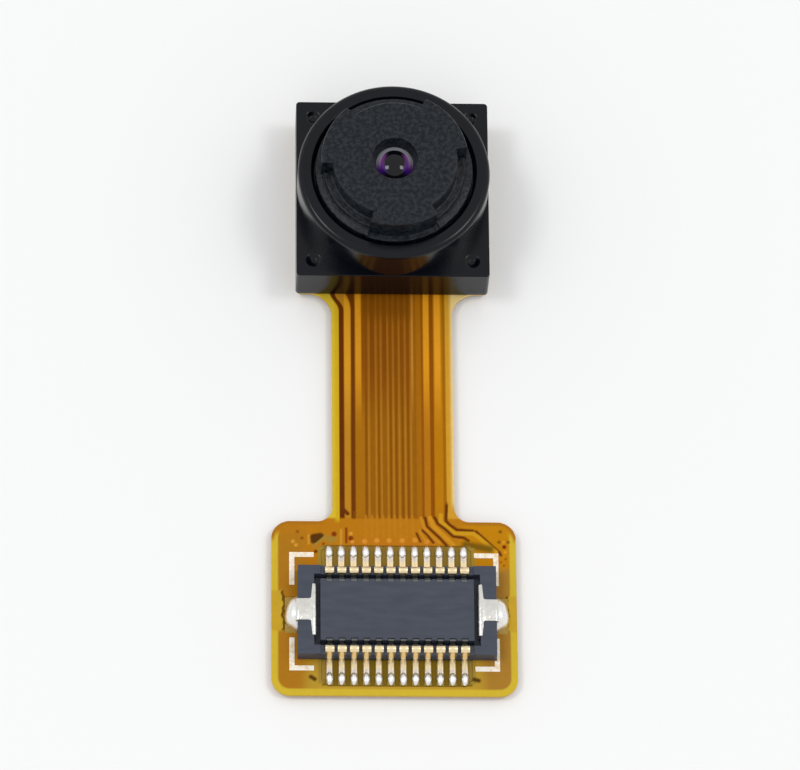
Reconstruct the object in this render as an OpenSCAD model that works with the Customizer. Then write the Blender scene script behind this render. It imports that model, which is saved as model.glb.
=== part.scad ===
// Compact fixed-focus camera module: a moulded lens holder with a threaded lens barrel over an
// image sensor, on a flexible circuit that ends in a 24-way board-to-board socket.
// Millimetres. +Z points out of the lens, +Y from the socket end towards the camera end, and the
// origin is at the bottom centre of the whole part, on the surface that it lies on.

/* [Lens holder] */
// Side of the holder's square foot
body_w = 6.4; // [6.2:0.05:6.8]
// Radius of the foot's upright corners
body_corner_r = 0.12; // [0.05:0.01:0.3]
// Height of the square foot
base_h = 1.45; // [1.35:0.01:1.6]
// Thickness of the walls round the sensor cavity
holder_wall = 0.55; // [0.45:0.01:0.62]
// Thickness of the foot's roof above the filter
roof_t = 0.36; // [0.3:0.01:0.42]
// Thickness of the shelf between the filter and the barrel
shelf_t = 0.2; // [0.15:0.01:0.25]
// Radius of the light opening in the shelf
shelf_opening_r = 1.75; // [1.5:0.01:1.9]
// Outer radius of the round tower
tower_r = 3.18; // [3:0.01:3.2]
// Height of the tower above the foot
tower_h = 1.4; // [1.35:0.01:1.6]
// Rounding of the tower's outer rim
rim_edge_r = 0.18; // [0.1:0.01:0.25]
// Width of the cone inside the rim
rim_cone_w = 0.08; // [0.05:0.01:0.12]
// Depth of the cone inside the rim
rim_cone_h = 0.1; // [0.05:0.01:0.15]
// Diameter of the four ejector dimples
dimple_d = 0.4; // [0.3:0.01:0.45]
// Depth of the dimples
dimple_depth = 0.1; // [0.05:0.01:0.15]
// Distance of the dimples' centres from the foot's sides
dimple_inset = 0.57; // [0.45:0.01:0.6]

/* [Lens barrel] */
// Radius of the barrel's head
head_r = 2.43; // [2.35:0.01:2.46]
// Height of the head above the tower's rim
head_proud = 0.94; // [0.9:0.01:1.1]
// Radius of the skirt below the lobes
skirt_r = 2.6; // [2.5:0.01:2.65]
// Height of the skirt above the tower's rim
skirt_proud = 0.08; // [0.05:0.01:0.12]
// Depth of the skirt's lower side below the rim
head_sink = 0.38; // [0.3:0.01:0.45]
// Number of grip lobes on the head
lobe_count = 3; // [2:1:5]
// Angle that each lobe covers
lobe_angle = 55; // [40:1:60]
// Direction of the first lobe, from +X towards +Y
lobe_turn = 37.5; // [0:0.5:120]
// Radius of the head between the lobes
notch_r = 2.06; // [1.8:0.01:2.2]
// Depth of the notches between the lobes
notch_depth = 0.65; // [0.3:0.01:0.8]
// Outer radius of the barrel's focus thread
thread_r = 2.25; // [2.15:0.01:2.3]
// Radius of the mouth at the front face
mouth_r = 0.75; // [0.7:0.01:0.9]
// Radius of the mouth where it meets the front lens
throat_r = 0.6; // [0.55:0.01:0.68]
// Depth of the mouth
mouth_depth = 0.47; // [0.4:0.01:0.55]
// Gap left below the barrel for setting the focus
focus_gap = 0.15; // [0.1:0.01:0.2]

/* [Lenses] */
// Radius of the front lens
front_lens_r = 1.39; // [1.3:0.01:1.5]
// Edge thickness of the front lens
front_lens_t = 0.4; // [0.35:0.01:0.45]
// Rise of the front lens's dome
front_dome_h = 0.15; // [0.1:0.01:0.2]
// Radius of the middle lens
middle_lens_r = 1.59; // [1.52:0.01:1.7]
// Edge thickness of the middle lens
middle_lens_t = 0.45; // [0.4:0.01:0.5]
// Radius of the rear lens
rear_lens_r = 1.84; // [1.76:0.01:1.92]
// Edge thickness of the rear lens
rear_lens_t = 0.5; // [0.45:0.01:0.55]
// Depth of the lenses' hollow faces
lens_hollow = 0.12; // [0.08:0.01:0.14]
// Thickness of the black shields between the lenses
shield_t = 0.05; // [0.03:0.01:0.06]
// Opening radius of the front shield
front_shield_open_r = 0.8; // [0.7:0.01:0.95]
// Opening radius of the rear shield
rear_shield_open_r = 1.15; // [1.1:0.01:1.3]
// Height of the ring that holds the lenses in
retainer_h = 0.2; // [0.15:0.01:0.22]
// Opening radius of the retaining ring
retainer_open_r = 1.45; // [1.3:0.01:1.6]
// Side of the square infrared filter
filter_w = 4.6; // [4.4:0.05:4.8]
// Thickness of the infrared filter
filter_t = 0.3; // [0.2:0.01:0.35]

/* [Sensor] */
// Width of the image sensor's die
die_w = 4; // [3.8:0.05:4.2]
// Length of the image sensor's die
die_l = 3.6; // [3.4:0.05:3.8]
// Thickness of the die
die_t = 0.25; // [0.2:0.01:0.3]
// Thickness of the die's adhesive
die_glue_t = 0.02; // [0.01:0.005:0.03]
// Bond wires on each side of the die
wires_per_side = 10; // [6:1:12]
// Spacing of the bond wires
wire_pitch = 0.3; // [0.25:0.01:0.3]
// Height of the bond wires' loops
wire_loop_h = 0.22; // [0.2:0.01:0.26]
// Number of ceramic capacitors
capacitor_count = 3; // [1:1:3]
// Length of a capacitor
capacitor_l = 0.6; // [0.5:0.01:0.7]
// Width and height of a capacitor
capacitor_w = 0.3; // [0.25:0.01:0.35]

/* [Flexible circuit] */
// Width of the neck
neck_w = 4; // [3.8:0.05:4.4]
// Length of the neck, from the foot to the head
neck_l = 8.2; // [6:0.1:14]
// Width of the head that carries the socket
head_w = 8; // [7.8:0.1:9]
// Length of the head
head_l = 6.1; // [6:0.1:7]
// Corner radius of the head
head_corner_r = 0.6; // [0.3:0.05:0.8]
// Radius where the neck widens into the head
neck_fillet_r = 0.5; // [0.3:0.05:0.8]
// Radius where the neck widens under the camera
flare_r = 0.8; // [0.4:0.05:0.95]
// Thickness of the stiffening plates
stiffener_t = 0.17; // [0.1:0.01:0.25]
// Thickness of the plates' adhesive
plate_glue_t = 0.03; // [0.02:0.005:0.04]
// Thickness of the bottom cover film
bottom_film_t = 0.025; // [0.02:0.005:0.04]
// Thickness of the base film
base_film_t = 0.05; // [0.03:0.005:0.08]
// Thickness of the copper
copper_t = 0.02; // [0.015:0.005:0.03]
// Thickness of the top cover film
top_film_t = 0.03; // [0.02:0.005:0.04]
// Gap between neighbouring copper tracks
track_gap = 0.1; // [0.06:0.01:0.12]
// Bare film beside the left-hand tracks
left_margin = 0.42; // [0.35:0.01:0.45]
// Bare film beside the right-hand tracks
right_margin = 0.32; // [0.25:0.01:0.4]
// Bare film round the head's ground planes
plane_margin = 0.3; // [0.25:0.01:0.32]
// Thickness of the printed corner marks
mark_t = 0.015; // [0.01:0.005:0.02]
// Line width of the corner marks
mark_w = 0.17; // [0.12:0.01:0.2]
// Length of the corner marks along the socket's ends
mark_l = 1.15; // [0.9:0.01:1.3]
// Length of the corner marks along the socket's rows
mark_reach = 0.8; // [0.6:0.01:0.85]
// Shift of the corner marks from the socket's centre towards the camera
mark_shift = 0.13; // [0:0.01:0.15]

/* [Socket] */
// Contacts in each row
contact_count = 12; // [8:1:12]
// Pitch of the contacts
contact_pitch = 0.4; // [0.38:0.01:0.4]
// Width of a contact's legs
contact_w = 0.2; // [0.16:0.01:0.22]
// Width of a contact's crest
crest_w = 0.28; // [0.24:0.01:0.3]
// Thickness of the contact strip
contact_t = 0.07; // [0.05:0.01:0.08]
// Distance between the two rows of crests
row_spacing = 2.75; // [2.7:0.01:2.85]
// Reach of the contact tails from the crests
tail_l = 0.86; // [0.8:0.01:0.9]
// Height of the crests above the circuit
crest_h = 0.62; // [0.58:0.01:0.7]
// Height of the crests above the housing
crest_proud = 0.1; // [0.08:0.01:0.12]
// Distance from the outer contacts to the housing's ends
housing_end = 1.03; // [1:0.01:1.05]
// Distance from the crests to the housing's long sides
housing_side = 0.18; // [0.16:0.01:0.22]
// Thickness of the rib under each crest
rib_t = 0.12; // [0.1:0.01:0.14]
// Width of the trench between the contacts and the island
trench_w = 0.17; // [0.15:0.01:0.2]
// Thickness of the end walls
end_wall_t = 0.53; // [0.45:0.01:0.55]
// Width of the trench at the ends of the island
end_trench_w = 0.2; // [0.15:0.01:0.22]
// Thickness of the housing's floor
floor_t = 0.12; // [0.1:0.01:0.15]
// Drop of the contact walls below the island
row_wall_drop = 0.06; // [0.04:0.01:0.08]
// Distance of the socket's centre from the head's centre
socket_offset = 0.26; // [0.2:0.01:0.36]
// Sideways place of the socket from the circuit's middle
socket_x = 0.08; // [0:0.01:0.1]
// Width of the hold-downs' straps
strap_w = 0.76; // [0.6:0.01:0.9]
// Thickness of the hold-downs' metal
strap_t = 0.08; // [0.06:0.01:0.1]
// Length of the hold-downs' inner prongs, tip to tip
prong_l = 1.8; // [1.4:0.05:1.9]
// Outward reach of the hold-downs' feet
foot_l = 0.22; // [0.15:0.01:0.25]

/* [Hidden] */
$fn = 96;
// overlap of cutting tools past the faces that they open
eps = 0.05;

// heights of the circuit's layers
plate_top = stiffener_t;
bottom_film_z = plate_top + plate_glue_t;
base_film_z = bottom_film_z + bottom_film_t;
copper_z = base_film_z + base_film_t;
copper_top = copper_z + copper_t;
circuit_top = copper_top + top_film_t;

// places along the part
total_l = body_w + neck_l + head_l;
camera_y = total_l / 2 - body_w / 2;
neck_top_y = total_l / 2 - body_w;
head_top_y = neck_top_y - neck_l;
head_y = head_top_y - head_l / 2;
socket_y = head_y - socket_offset;

// the circuit under the camera lies a little inside the holder's sides
pad_inset = 0.05;
camera_pad_w = body_w - 2 * pad_inset;
camera_plate_w = body_w - 0.2;
head_plate_inset = 0.3;
head_plate_r = 0.35;

// heights of the holder
holder_glue_t = 0.02;
holder_z = circuit_top + holder_glue_t;
base_top = holder_z + base_h;
rim_z = base_top + tower_h;
filter_top = base_top - roof_t;
shelf_top = filter_top + shelf_t;
filter_gap = 0.05;
filter_seat_d = filter_t + 0.01;
cavity_w = body_w - 2 * holder_wall;
glue_foot_inset = 0.04;

// fits of the barrel and the lenses
head_gap = 0.06;
head_seat_gap = 0.05;
thread_gap = 0.02;
lens_gap = 0.01;
face_z = rim_z + head_proud;
flange_top = face_z - notch_depth;
head_z = rim_z - head_sink;
skirt_top = rim_z + skirt_proud;
barrel_z = shelf_top + focus_gap;
head_bore_r = skirt_r + head_gap;
head_bore_z = head_z - head_seat_gap;
rim_cone_r = head_bore_r + rim_cone_w;

// heights of the lens stack, from the mouth downwards
front_lens_top = face_z - mouth_depth;
front_lens_z = front_lens_top - front_lens_t;
front_shield_z = front_lens_z - shield_t;
middle_lens_z = front_shield_z - middle_lens_t;
rear_shield_z = middle_lens_z - shield_t;
rear_lens_z = rear_shield_z - rear_lens_t;
retainer_z = rear_lens_z - retainer_h;

// places round the sensor
die_z = copper_top + die_glue_t;
die_top = die_z + die_t;
sensor_window_w = cavity_w - 0.1;
finger_w = 0.12;
finger_l = 0.22;
finger_gap = 0.12;
finger_x = die_w / 2 + finger_gap + finger_l / 2;
wire_start_x = die_w / 2 - 0.14;
wire_w = 0.03;
wire_steps = 8;
capacitor_gap = 0.14;
capacitor_y = die_l / 2 + capacitor_gap + capacitor_w / 2;
capacitor_spacing = 1.2;

// places in the socket
row_y = row_spacing / 2;
rib_r = rib_t / 2;
crest_r = rib_r + contact_t;
crest_z = circuit_top + crest_h;
crest_centre_z = crest_z - crest_r;
housing_z = circuit_top;
housing_top = crest_z - crest_proud;
row_wall_top = min(housing_top - row_wall_drop, crest_centre_z);
floor_top = housing_z + floor_t;
row_l = (contact_count - 1) * contact_pitch;
housing_l = row_l + 2 * housing_end;
housing_w = row_spacing + 2 * housing_side;
cavity_end_x = housing_l / 2 - end_wall_t;
island_l = 2 * (cavity_end_x - end_trench_w);
island_w = row_spacing - 2 * (crest_r + trench_w);
slot_gap = 0.01;
slot_w = contact_w + 2 * slot_gap;
arm_gap = 0.01;
arm_drop = 0.05;
corner_block_l = 0.74;
row_zone_l = housing_l - 2 * corner_block_l;

// pads and solder of the socket
contact_pad_w = 0.24;
contact_pad_start = 0.22;
contact_pad_end = tail_l + 0.2;
solder_r = 0.15;
window_side = 0.12;
window_inner = rib_r - 0.04;
window_outer = contact_pad_end + 0.03;
window_chamfer = 0.2;
strap_x = housing_l / 2;
strap_outer_x = strap_x + strap_t;
foot_end_x = strap_outer_x + foot_l;
strap_top = housing_top + 0.02;
anchor_pad_l = strap_w + 0.5;
anchor_pad_start = strap_x - 0.03;
anchor_pad_end = foot_end_x + 0.12;
anchor_solder_r = anchor_pad_end - strap_outer_x - 0.03;
anchor_solder_l = 0.5;
prong_drop = 0.02;
prong_h = 0.3;

// copper tracks: widths from the neck's edges inwards
left_track_ws = [0.27, 0.36];
right_track_ws = [0.28, 0.22, 0.34];
fine_count = contact_count - len(left_track_ws) - len(right_track_ws);
left_inner_x = -neck_w / 2 + left_margin + sum_to(left_track_ws, len(left_track_ws));
right_inner_x = neck_w / 2 - right_margin - sum_to(right_track_ws, len(right_track_ws));
fine_pitch = (right_inner_x - left_inner_x) / fine_count;
fine_w = fine_pitch / 2;
track_top_y = neck_top_y - 0.25;
fan_start_y = head_top_y + 0.15;
pad_end_y = socket_y + row_y + contact_pad_end;
fan_end_y = pad_end_y + 0.12;
pad_track_w = 0.14;
plane_gap = 0.25;
plane_inner_x = housing_l / 2 + 0.2;
plane_top_x = row_l / 2 + plane_gap;
die_plane_inset = 0.1;
mark_gap = 0.02;
mark_x = housing_l / 2 + mark_gap;
mark_y = row_y + 0.53;
plane_inner_l = mark_y + mark_shift + mark_w + 0.1;

// Total of the first n widths, each with the gap that follows it
function sum_to(widths, n) = n == 0 ? 0 : widths[n - 1] + track_gap + sum_to(widths, n - 1);

// Place of a contact along its row
function contact_x(i) = (i - (contact_count - 1) / 2) * contact_pitch;

// Centre line of track i in the neck: wide ones at both edges, fine ones between them
function track_x(i) =
    let (n_left = len(left_track_ws), n_right = len(right_track_ws), r = contact_count - 1 - i)
    i < n_left ? -neck_w / 2 + left_margin + sum_to(left_track_ws, i) + left_track_ws[i] / 2
    : r < n_right ? neck_w / 2 - right_margin - sum_to(right_track_ws, r) - right_track_ws[r] / 2
    : left_inner_x + (i - n_left + 0.5) * fine_pitch - track_gap / 2;

// Width of track i
function track_w(i) =
    let (n_left = len(left_track_ws), n_right = len(right_track_ws), r = contact_count - 1 - i)
    i < n_left ? left_track_ws[i] : r < n_right ? right_track_ws[r] : fine_w;

// Radius of the sphere whose cap has radius r and height h
function cap_radius(r, h) = (r * r + h * h) / (2 * h);

// Rectangle with round corners, centred on the origin
module rounded_square(w, l, r) {
    square([w - 2 * r, l], center = true);
    square([w, l - 2 * r], center = true);
    for (x = [-1, 1], y = [-1, 1])
        translate([x * (w / 2 - r), y * (l / 2 - r)]) circle(r);
}

// Concave corner fillet that fills the quadrant +X +Y from the corner at the origin
module corner_fill(r) {
    difference() {
        square(r);
        translate([r, r]) circle(r);
    }
}

// Outline of the whole flexible circuit
module circuit_outline() {
    translate([0, camera_y]) rounded_square(camera_pad_w, camera_pad_w, body_corner_r);
    translate([0, head_y]) rounded_square(head_w, head_l, head_corner_r);
    translate([-neck_w / 2, head_y]) square([neck_w, camera_y - head_y]);
    for (side = [0, 1]) mirror([side, 0]) {
        translate([neck_w / 2, neck_top_y + pad_inset]) mirror([0, 1]) corner_fill(flare_r);
        translate([neck_w / 2, head_top_y]) corner_fill(neck_fillet_r);
    }
}

// Slot in the top cover film over one row of contacts, with chamfered outer corners
module row_window() {
    half_l = row_l / 2 + contact_pad_w / 2 + window_side;
    polygon([
        [-half_l, window_inner], [half_l, window_inner],
        [half_l, window_outer - window_chamfer], [half_l - window_chamfer, window_outer],
        [window_chamfer - half_l, window_outer], [-half_l, window_outer - window_chamfer]
    ]);
}

// Puts its children at both rows, with +Y pointing outwards from the socket
module at_rows() {
    at_upper_row() children();
    at_lower_row() children();
}

module at_upper_row() {
    translate([socket_x, socket_y + row_y, 0]) children();
}

module at_lower_row() {
    translate([socket_x, socket_y - row_y, 0]) mirror([0, 1, 0]) children();
}

// Puts its children at both ends of the socket, with +X pointing outwards
module at_ends() {
    at_right_end() children();
    at_left_end() children();
}

module at_right_end() {
    translate([socket_x, socket_y, 0]) children();
}

module at_left_end() {
    translate([socket_x, socket_y, 0]) mirror([1, 0, 0]) children();
}

// Block from x0, y0, z0 to x1, y1, z1
module block(x0, x1, y0, y1, z0, z1) {
    translate([x0, y0, z0]) cube([x1 - x0, y1 - y0, z1 - z0]);
}

// Copper track i: straight down the neck, across to its pad, and straight into the pad
module track(i) {
    half_w = track_w(i) / 2;
    pad_half_w = min(half_w, pad_track_w / 2);
    x = track_x(i);
    pad_x = socket_x + contact_x(i);
    polygon([
        [x - half_w, track_top_y], [x - half_w, fan_start_y], [pad_x - pad_half_w, fan_end_y],
        [pad_x - pad_half_w, pad_end_y], [pad_x + pad_half_w, pad_end_y],
        [pad_x + pad_half_w, fan_end_y], [x + half_w, fan_start_y], [x + half_w, track_top_y]
    ]);
}

// Plate of stainless steel under the camera
module camera_stiffener() {
    color("silver")
        translate([0, camera_y, 0]) linear_extrude(stiffener_t)
            rounded_square(camera_plate_w, camera_plate_w, body_corner_r);
}

// Plate of stainless steel under the socket
module connector_stiffener() {
    color("silver")
        translate([0, head_y, 0]) linear_extrude(stiffener_t)
            rounded_square(head_w - 2 * head_plate_inset, head_l - 2 * head_plate_inset,
                head_plate_r);
}

// Adhesive films between the plates and the circuit
module stiffener_adhesive() {
    color("wheat") translate([0, 0, plate_top]) linear_extrude(plate_glue_t) {
        translate([0, camera_y]) rounded_square(camera_plate_w, camera_plate_w, body_corner_r);
        translate([0, head_y])
            rounded_square(head_w - 2 * head_plate_inset, head_l - 2 * head_plate_inset,
                head_plate_r);
    }
}

// Bottom cover film
module bottom_cover_film() {
    color("darkgoldenrod")
        translate([0, 0, bottom_film_z]) linear_extrude(bottom_film_t) circuit_outline();
}

// Base film of the circuit
module base_film() {
    color("goldenrod")
        translate([0, 0, base_film_z]) linear_extrude(base_film_t) circuit_outline();
}

// Twelve tracks down the neck, ground planes on the head and a plane under the die
module copper_tracks() {
    color("peru") translate([0, 0, copper_z]) linear_extrude(copper_t) {
        for (i = [0 : contact_count - 1]) track(i);
        ground_planes();
        translate([0, camera_y])
            square([die_w - 2 * die_plane_inset, die_l - 2 * die_plane_inset], center = true);
    }
}

// Copper planes at the left and right of the socket
module ground_planes() {
    difference() {
        translate([0, head_y])
            rounded_square(head_w - 2 * plane_margin, head_l - 2 * plane_margin,
                head_corner_r - plane_margin / 2);
        translate([-plane_inner_x, socket_y - plane_inner_l])
            square([2 * plane_inner_x, 2 * plane_inner_l]);
        translate([-plane_top_x, head_y - head_l / 2]) square([2 * plane_top_x, head_l]);
        for (x = [-1, 1])
            translate([socket_x + x * (anchor_pad_start + anchor_pad_end) / 2, socket_y])
                square([anchor_pad_end - anchor_pad_start + 0.2, anchor_pad_l + 0.2],
                    center = true);
    }
}

// Gold-plated pads that the socket is soldered to
module solder_pads() {
    color("gold") {
        at_rows() for (i = [0 : contact_count - 1])
            block(contact_x(i) - contact_pad_w / 2, contact_x(i) + contact_pad_w / 2,
                contact_pad_start, contact_pad_end, copper_z, copper_top);
        at_ends()
            block(anchor_pad_start, anchor_pad_end, -anchor_pad_l / 2, anchor_pad_l / 2,
                copper_z, copper_top);
    }
}

// Gold fingers for the bond wires and pads for the capacitors
module sensor_pads() {
    color("gold") translate([0, camera_y, 0]) {
        for (side = [-1, 1], i = [0 : wires_per_side - 1])
            translate([side * finger_x, (i - (wires_per_side - 1) / 2) * wire_pitch, copper_z])
                translate([-finger_l / 2, -finger_w / 2, 0]) cube([finger_l, finger_w, copper_t]);
        for (i = [0 : capacitor_count - 1], end = [-1, 1])
            translate([capacitor_x(i) + end * capacitor_l * 0.4, capacitor_y, copper_z])
                translate([-capacitor_l / 8, -capacitor_w / 2, 0])
                    cube([capacitor_l / 4, capacitor_w, copper_t]);
    }
}

// Place of a capacitor along the row behind the die
function capacitor_x(i) = (i - (capacitor_count - 1) / 2) * capacitor_spacing;

// Top cover film, open over the pads and inside the holder
module top_cover_film() {
    color("orange") translate([0, 0, copper_top]) linear_extrude(top_film_t) difference() {
        circuit_outline();
        translate([0, camera_y]) square(sensor_window_w, center = true);
        translate([socket_x, socket_y + row_y]) row_window();
        translate([socket_x, socket_y - row_y]) mirror([0, 1]) row_window();
        for (side = [0, 1]) translate([socket_x, socket_y]) mirror([side, 0])
            translate([anchor_pad_start, -anchor_pad_l / 2])
                square([anchor_pad_end - anchor_pad_start, anchor_pad_l]);
    }
}

// White corner marks printed round the socket, which covers the arms on its own side a little
module corner_marks() {
    color("white") difference() {
        for (side = [0, 1], end = [0, 1])
            translate([0, socket_y + mark_shift, circuit_top])
                mirror([side, 0, 0]) mirror([0, end, 0]) {
                block(mark_x, mark_x + mark_w, mark_y + mark_w - mark_l, mark_y + mark_w,
                    0, mark_t);
                block(mark_x + mark_w - mark_reach, mark_x + mark_w, mark_y, mark_y + mark_w,
                    0, mark_t);
            }
        translate([socket_x, socket_y, 0])
            block(-housing_l / 2 - mark_gap, housing_l / 2 + mark_gap,
                -housing_w / 2 - mark_gap, housing_w / 2 + mark_gap, 0, housing_top);
    }
}

// Bead of adhesive under the holder's walls
module holder_adhesive() {
    color("dimgray")
        translate([0, camera_y, circuit_top]) linear_extrude(holder_glue_t) difference() {
            rounded_square(camera_pad_w - glue_foot_inset, camera_pad_w - glue_foot_inset,
                body_corner_r);
            square(cavity_w, center = true);
        }
}

// Moulded holder: square foot, round tower, threaded bore, filter seat and sensor cavity
module lens_holder() {
    color("black") translate([0, camera_y, 0]) difference() {
        union() {
            translate([0, 0, holder_z]) linear_extrude(base_h)
                rounded_square(body_w, body_w, body_corner_r);
            rotate_extrude() {
                translate([0, holder_z]) square([tower_r, rim_z - rim_edge_r - holder_z]);
                translate([0, holder_z]) square([tower_r - rim_edge_r, rim_z - holder_z]);
                translate([tower_r - rim_edge_r, rim_z - rim_edge_r]) circle(rim_edge_r);
            }
        }
        translate([0, 0, rim_z - rim_cone_h])
            cylinder(h = rim_cone_h, r1 = head_bore_r, r2 = rim_cone_r);
        translate([0, 0, rim_z]) cylinder(h = eps, r = rim_cone_r);
        translate([0, 0, head_bore_z]) cylinder(h = rim_z - head_bore_z, r = head_bore_r);
        translate([0, 0, shelf_top])
            cylinder(h = rim_z - shelf_top, r = thread_r + thread_gap);
        translate([0, 0, holder_z]) cylinder(h = shelf_top, r = shelf_opening_r);
        translate([0, 0, filter_top - filter_seat_d / 2])
            cube([filter_w + 2 * filter_gap, filter_w + 2 * filter_gap, filter_seat_d],
                center = true);
        block(-cavity_w / 2, cavity_w / 2, -cavity_w / 2, cavity_w / 2,
            holder_z - eps, filter_top - filter_seat_d);
        for (x = [-1, 1], y = [-1, 1])
            translate([x * (body_w / 2 - dimple_inset), y * (body_w / 2 - dimple_inset),
                base_top - dimple_depth])
                cylinder(h = dimple_depth + eps, d = dimple_d);
    }
}

// Blue glass that stops infrared light
module infrared_filter() {
    color("lightsteelblue")
        translate([0, camera_y, filter_top - filter_t / 2])
            cube([filter_w, filter_w, filter_t], center = true);
}

// Barrel: lobed head, skirt, focus thread, mouth and stepped bore for the lenses
module lens_barrel() {
    color("dimgray") translate([0, camera_y, 0]) difference() {
        union() {
            translate([0, 0, barrel_z]) cylinder(h = head_z - barrel_z, r = thread_r);
            translate([0, 0, head_z]) cylinder(h = skirt_top - head_z, r = skirt_r);
            translate([0, 0, skirt_top]) cylinder(h = flange_top - skirt_top, r = head_r);
            translate([0, 0, flange_top]) cylinder(h = notch_depth, r = notch_r);
            intersection() {
                translate([0, 0, flange_top]) cylinder(h = notch_depth, r = head_r);
                for (i = [0 : lobe_count - 1])
                    rotate(lobe_turn + i * 360 / lobe_count) lobe_wedge();
            }
        }
        translate([0, 0, front_lens_top])
            cylinder(h = mouth_depth, r1 = throat_r, r2 = mouth_r);
        translate([0, 0, face_z]) cylinder(h = eps, r = mouth_r);
        translate([0, 0, barrel_z - eps])
            cylinder(h = front_lens_top - barrel_z + eps, r = front_lens_r + lens_gap);
        translate([0, 0, barrel_z - eps])
            cylinder(h = front_shield_z - barrel_z + eps, r = middle_lens_r + lens_gap);
        translate([0, 0, barrel_z - eps])
            cylinder(h = rear_shield_z - barrel_z + eps, r = rear_lens_r + lens_gap);
    }
}

// Upright wedge that leaves one lobe of the head, towards +X
module lobe_wedge() {
    reach = 2 * head_r;
    translate([0, 0, flange_top]) linear_extrude(notch_depth)
        polygon([
            [0, 0],
            [reach * cos(lobe_angle / 2), -reach * sin(lobe_angle / 2)],
            [reach * cos(lobe_angle / 2), reach * sin(lobe_angle / 2)]
        ]);
}

// Front lens: a disc with a domed front that fills the throat, and a hollow back
module front_lens() {
    dome_r = cap_radius(throat_r - lens_gap, front_dome_h);
    back_r = cap_radius(front_shield_open_r, lens_hollow);
    color("lightblue") translate([0, camera_y, 0]) difference() {
        union() {
            translate([0, 0, front_lens_z]) cylinder(h = front_lens_t, r = front_lens_r);
            intersection() {
                translate([0, 0, front_lens_top + front_dome_h - dome_r]) sphere(dome_r);
                translate([0, 0, front_lens_top]) cylinder(h = front_dome_h, r = throat_r);
            }
        }
        translate([0, 0, front_lens_z + lens_hollow - back_r]) sphere(back_r);
    }
}

// Middle lens: hollow in front and domed behind, through the rear shield's opening
module middle_lens() {
    front_r = cap_radius(front_shield_open_r, lens_hollow);
    back_r = cap_radius(rear_shield_open_r - 0.1, lens_hollow);
    color("lightblue") translate([0, camera_y, 0]) difference() {
        union() {
            translate([0, 0, middle_lens_z]) cylinder(h = middle_lens_t, r = middle_lens_r);
            intersection() {
                translate([0, 0, middle_lens_z - lens_hollow + back_r]) sphere(back_r);
                translate([0, 0, middle_lens_z - lens_hollow])
                    cylinder(h = lens_hollow, r = rear_shield_open_r - 0.1);
            }
        }
        translate([0, 0, front_shield_z - lens_hollow + front_r]) sphere(front_r);
    }
}

// Rear lens: hollow on both sides
module rear_lens() {
    face_r = cap_radius(rear_shield_open_r, lens_hollow);
    color("lightblue") translate([0, camera_y, 0]) difference() {
        translate([0, 0, rear_lens_z]) cylinder(h = rear_lens_t, r = rear_lens_r);
        translate([0, 0, rear_shield_z - lens_hollow + face_r]) sphere(face_r);
        translate([0, 0, rear_lens_z + lens_hollow - face_r]) sphere(face_r);
    }
}

// Flat ring with an opening
module ring(z, h, r, open_r) {
    translate([0, camera_y, z]) difference() {
        cylinder(h = h, r = r);
        translate([0, 0, -eps]) cylinder(h = h + 2 * eps, r = open_r);
    }
}

module front_light_shield() {
    color("black") ring(front_shield_z, shield_t, front_lens_r, front_shield_open_r);
}

module rear_light_shield() {
    color("black") ring(rear_shield_z, shield_t, middle_lens_r, rear_shield_open_r);
}

module lens_retainer() {
    color("black") ring(retainer_z, retainer_h, rear_lens_r, retainer_open_r);
}

// Silicon die of the image sensor
module image_sensor() {
    color("darkslategray")
        translate([0, camera_y, die_z + die_t / 2]) cube([die_w, die_l, die_t], center = true);
}

// Adhesive between the die and the circuit
module die_adhesive() {
    color("silver")
        translate([0, camera_y, copper_top + die_glue_t / 2])
            cube([die_w - 2 * die_plane_inset, die_l - 2 * die_plane_inset, die_glue_t],
                center = true);
}

// Height of a wire's lower side at a fraction t of its way from the die to the finger
function wire_z(t) = die_top + (copper_top - die_top) * t + 4 * wire_loop_h * t * (1 - t);

// Gold wires that arch from the die's edge down to the fingers
module bond_wires() {
    run = finger_x - wire_start_x;
    lower = [for (i = [0 : wire_steps])
        [wire_start_x + run * i / wire_steps, wire_z(i / wire_steps)]];
    upper = [for (i = [wire_steps : -1 : 0]) lower[i] + [0, wire_w]];
    color("gold") for (side = [0, 1], i = [0 : wires_per_side - 1])
        translate([0, camera_y + (i - (wires_per_side - 1) / 2) * wire_pitch, 0])
            mirror([side, 0, 0]) rotate([90, 0, 0])
                linear_extrude(wire_w, center = true) polygon(concat(lower, upper));
}

// Ceramic capacitors behind the die
module ceramic_capacitors() {
    color("tan") for (i = [0 : capacitor_count - 1])
        translate([capacitor_x(i), camera_y + capacitor_y, copper_top + capacitor_w / 2])
            cube([capacitor_l, capacitor_w, capacitor_w], center = true);
}

// Moulded housing of the socket: floor, end walls, ribbed long walls and a central island
module connector_housing() {
    color("darkslategray") translate([socket_x, socket_y, 0]) difference() {
        block(-housing_l / 2, housing_l / 2, -housing_w / 2, housing_w / 2,
            housing_z, housing_top);
        trench();
        for (side = [0, 1]) mirror([0, side, 0]) translate([0, row_y, 0]) {
            block(-row_zone_l / 2, row_zone_l / 2, -crest_r - eps, housing_side + eps,
                row_wall_top, housing_top + eps);
            for (i = [0 : contact_count - 1]) contact_slot(contact_x(i));
        }
        for (side = [0, 1]) mirror([side, 0, 0]) strap_notch();
    }
}

// Ring-shaped trench round the island
module trench() {
    difference() {
        block(-cavity_end_x, cavity_end_x, -row_y + crest_r, row_y - crest_r,
            floor_top, housing_top + eps);
        block(-island_l / 2, island_l / 2, -island_w / 2, island_w / 2,
            floor_top - eps, housing_top + 2 * eps);
    }
}

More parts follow.
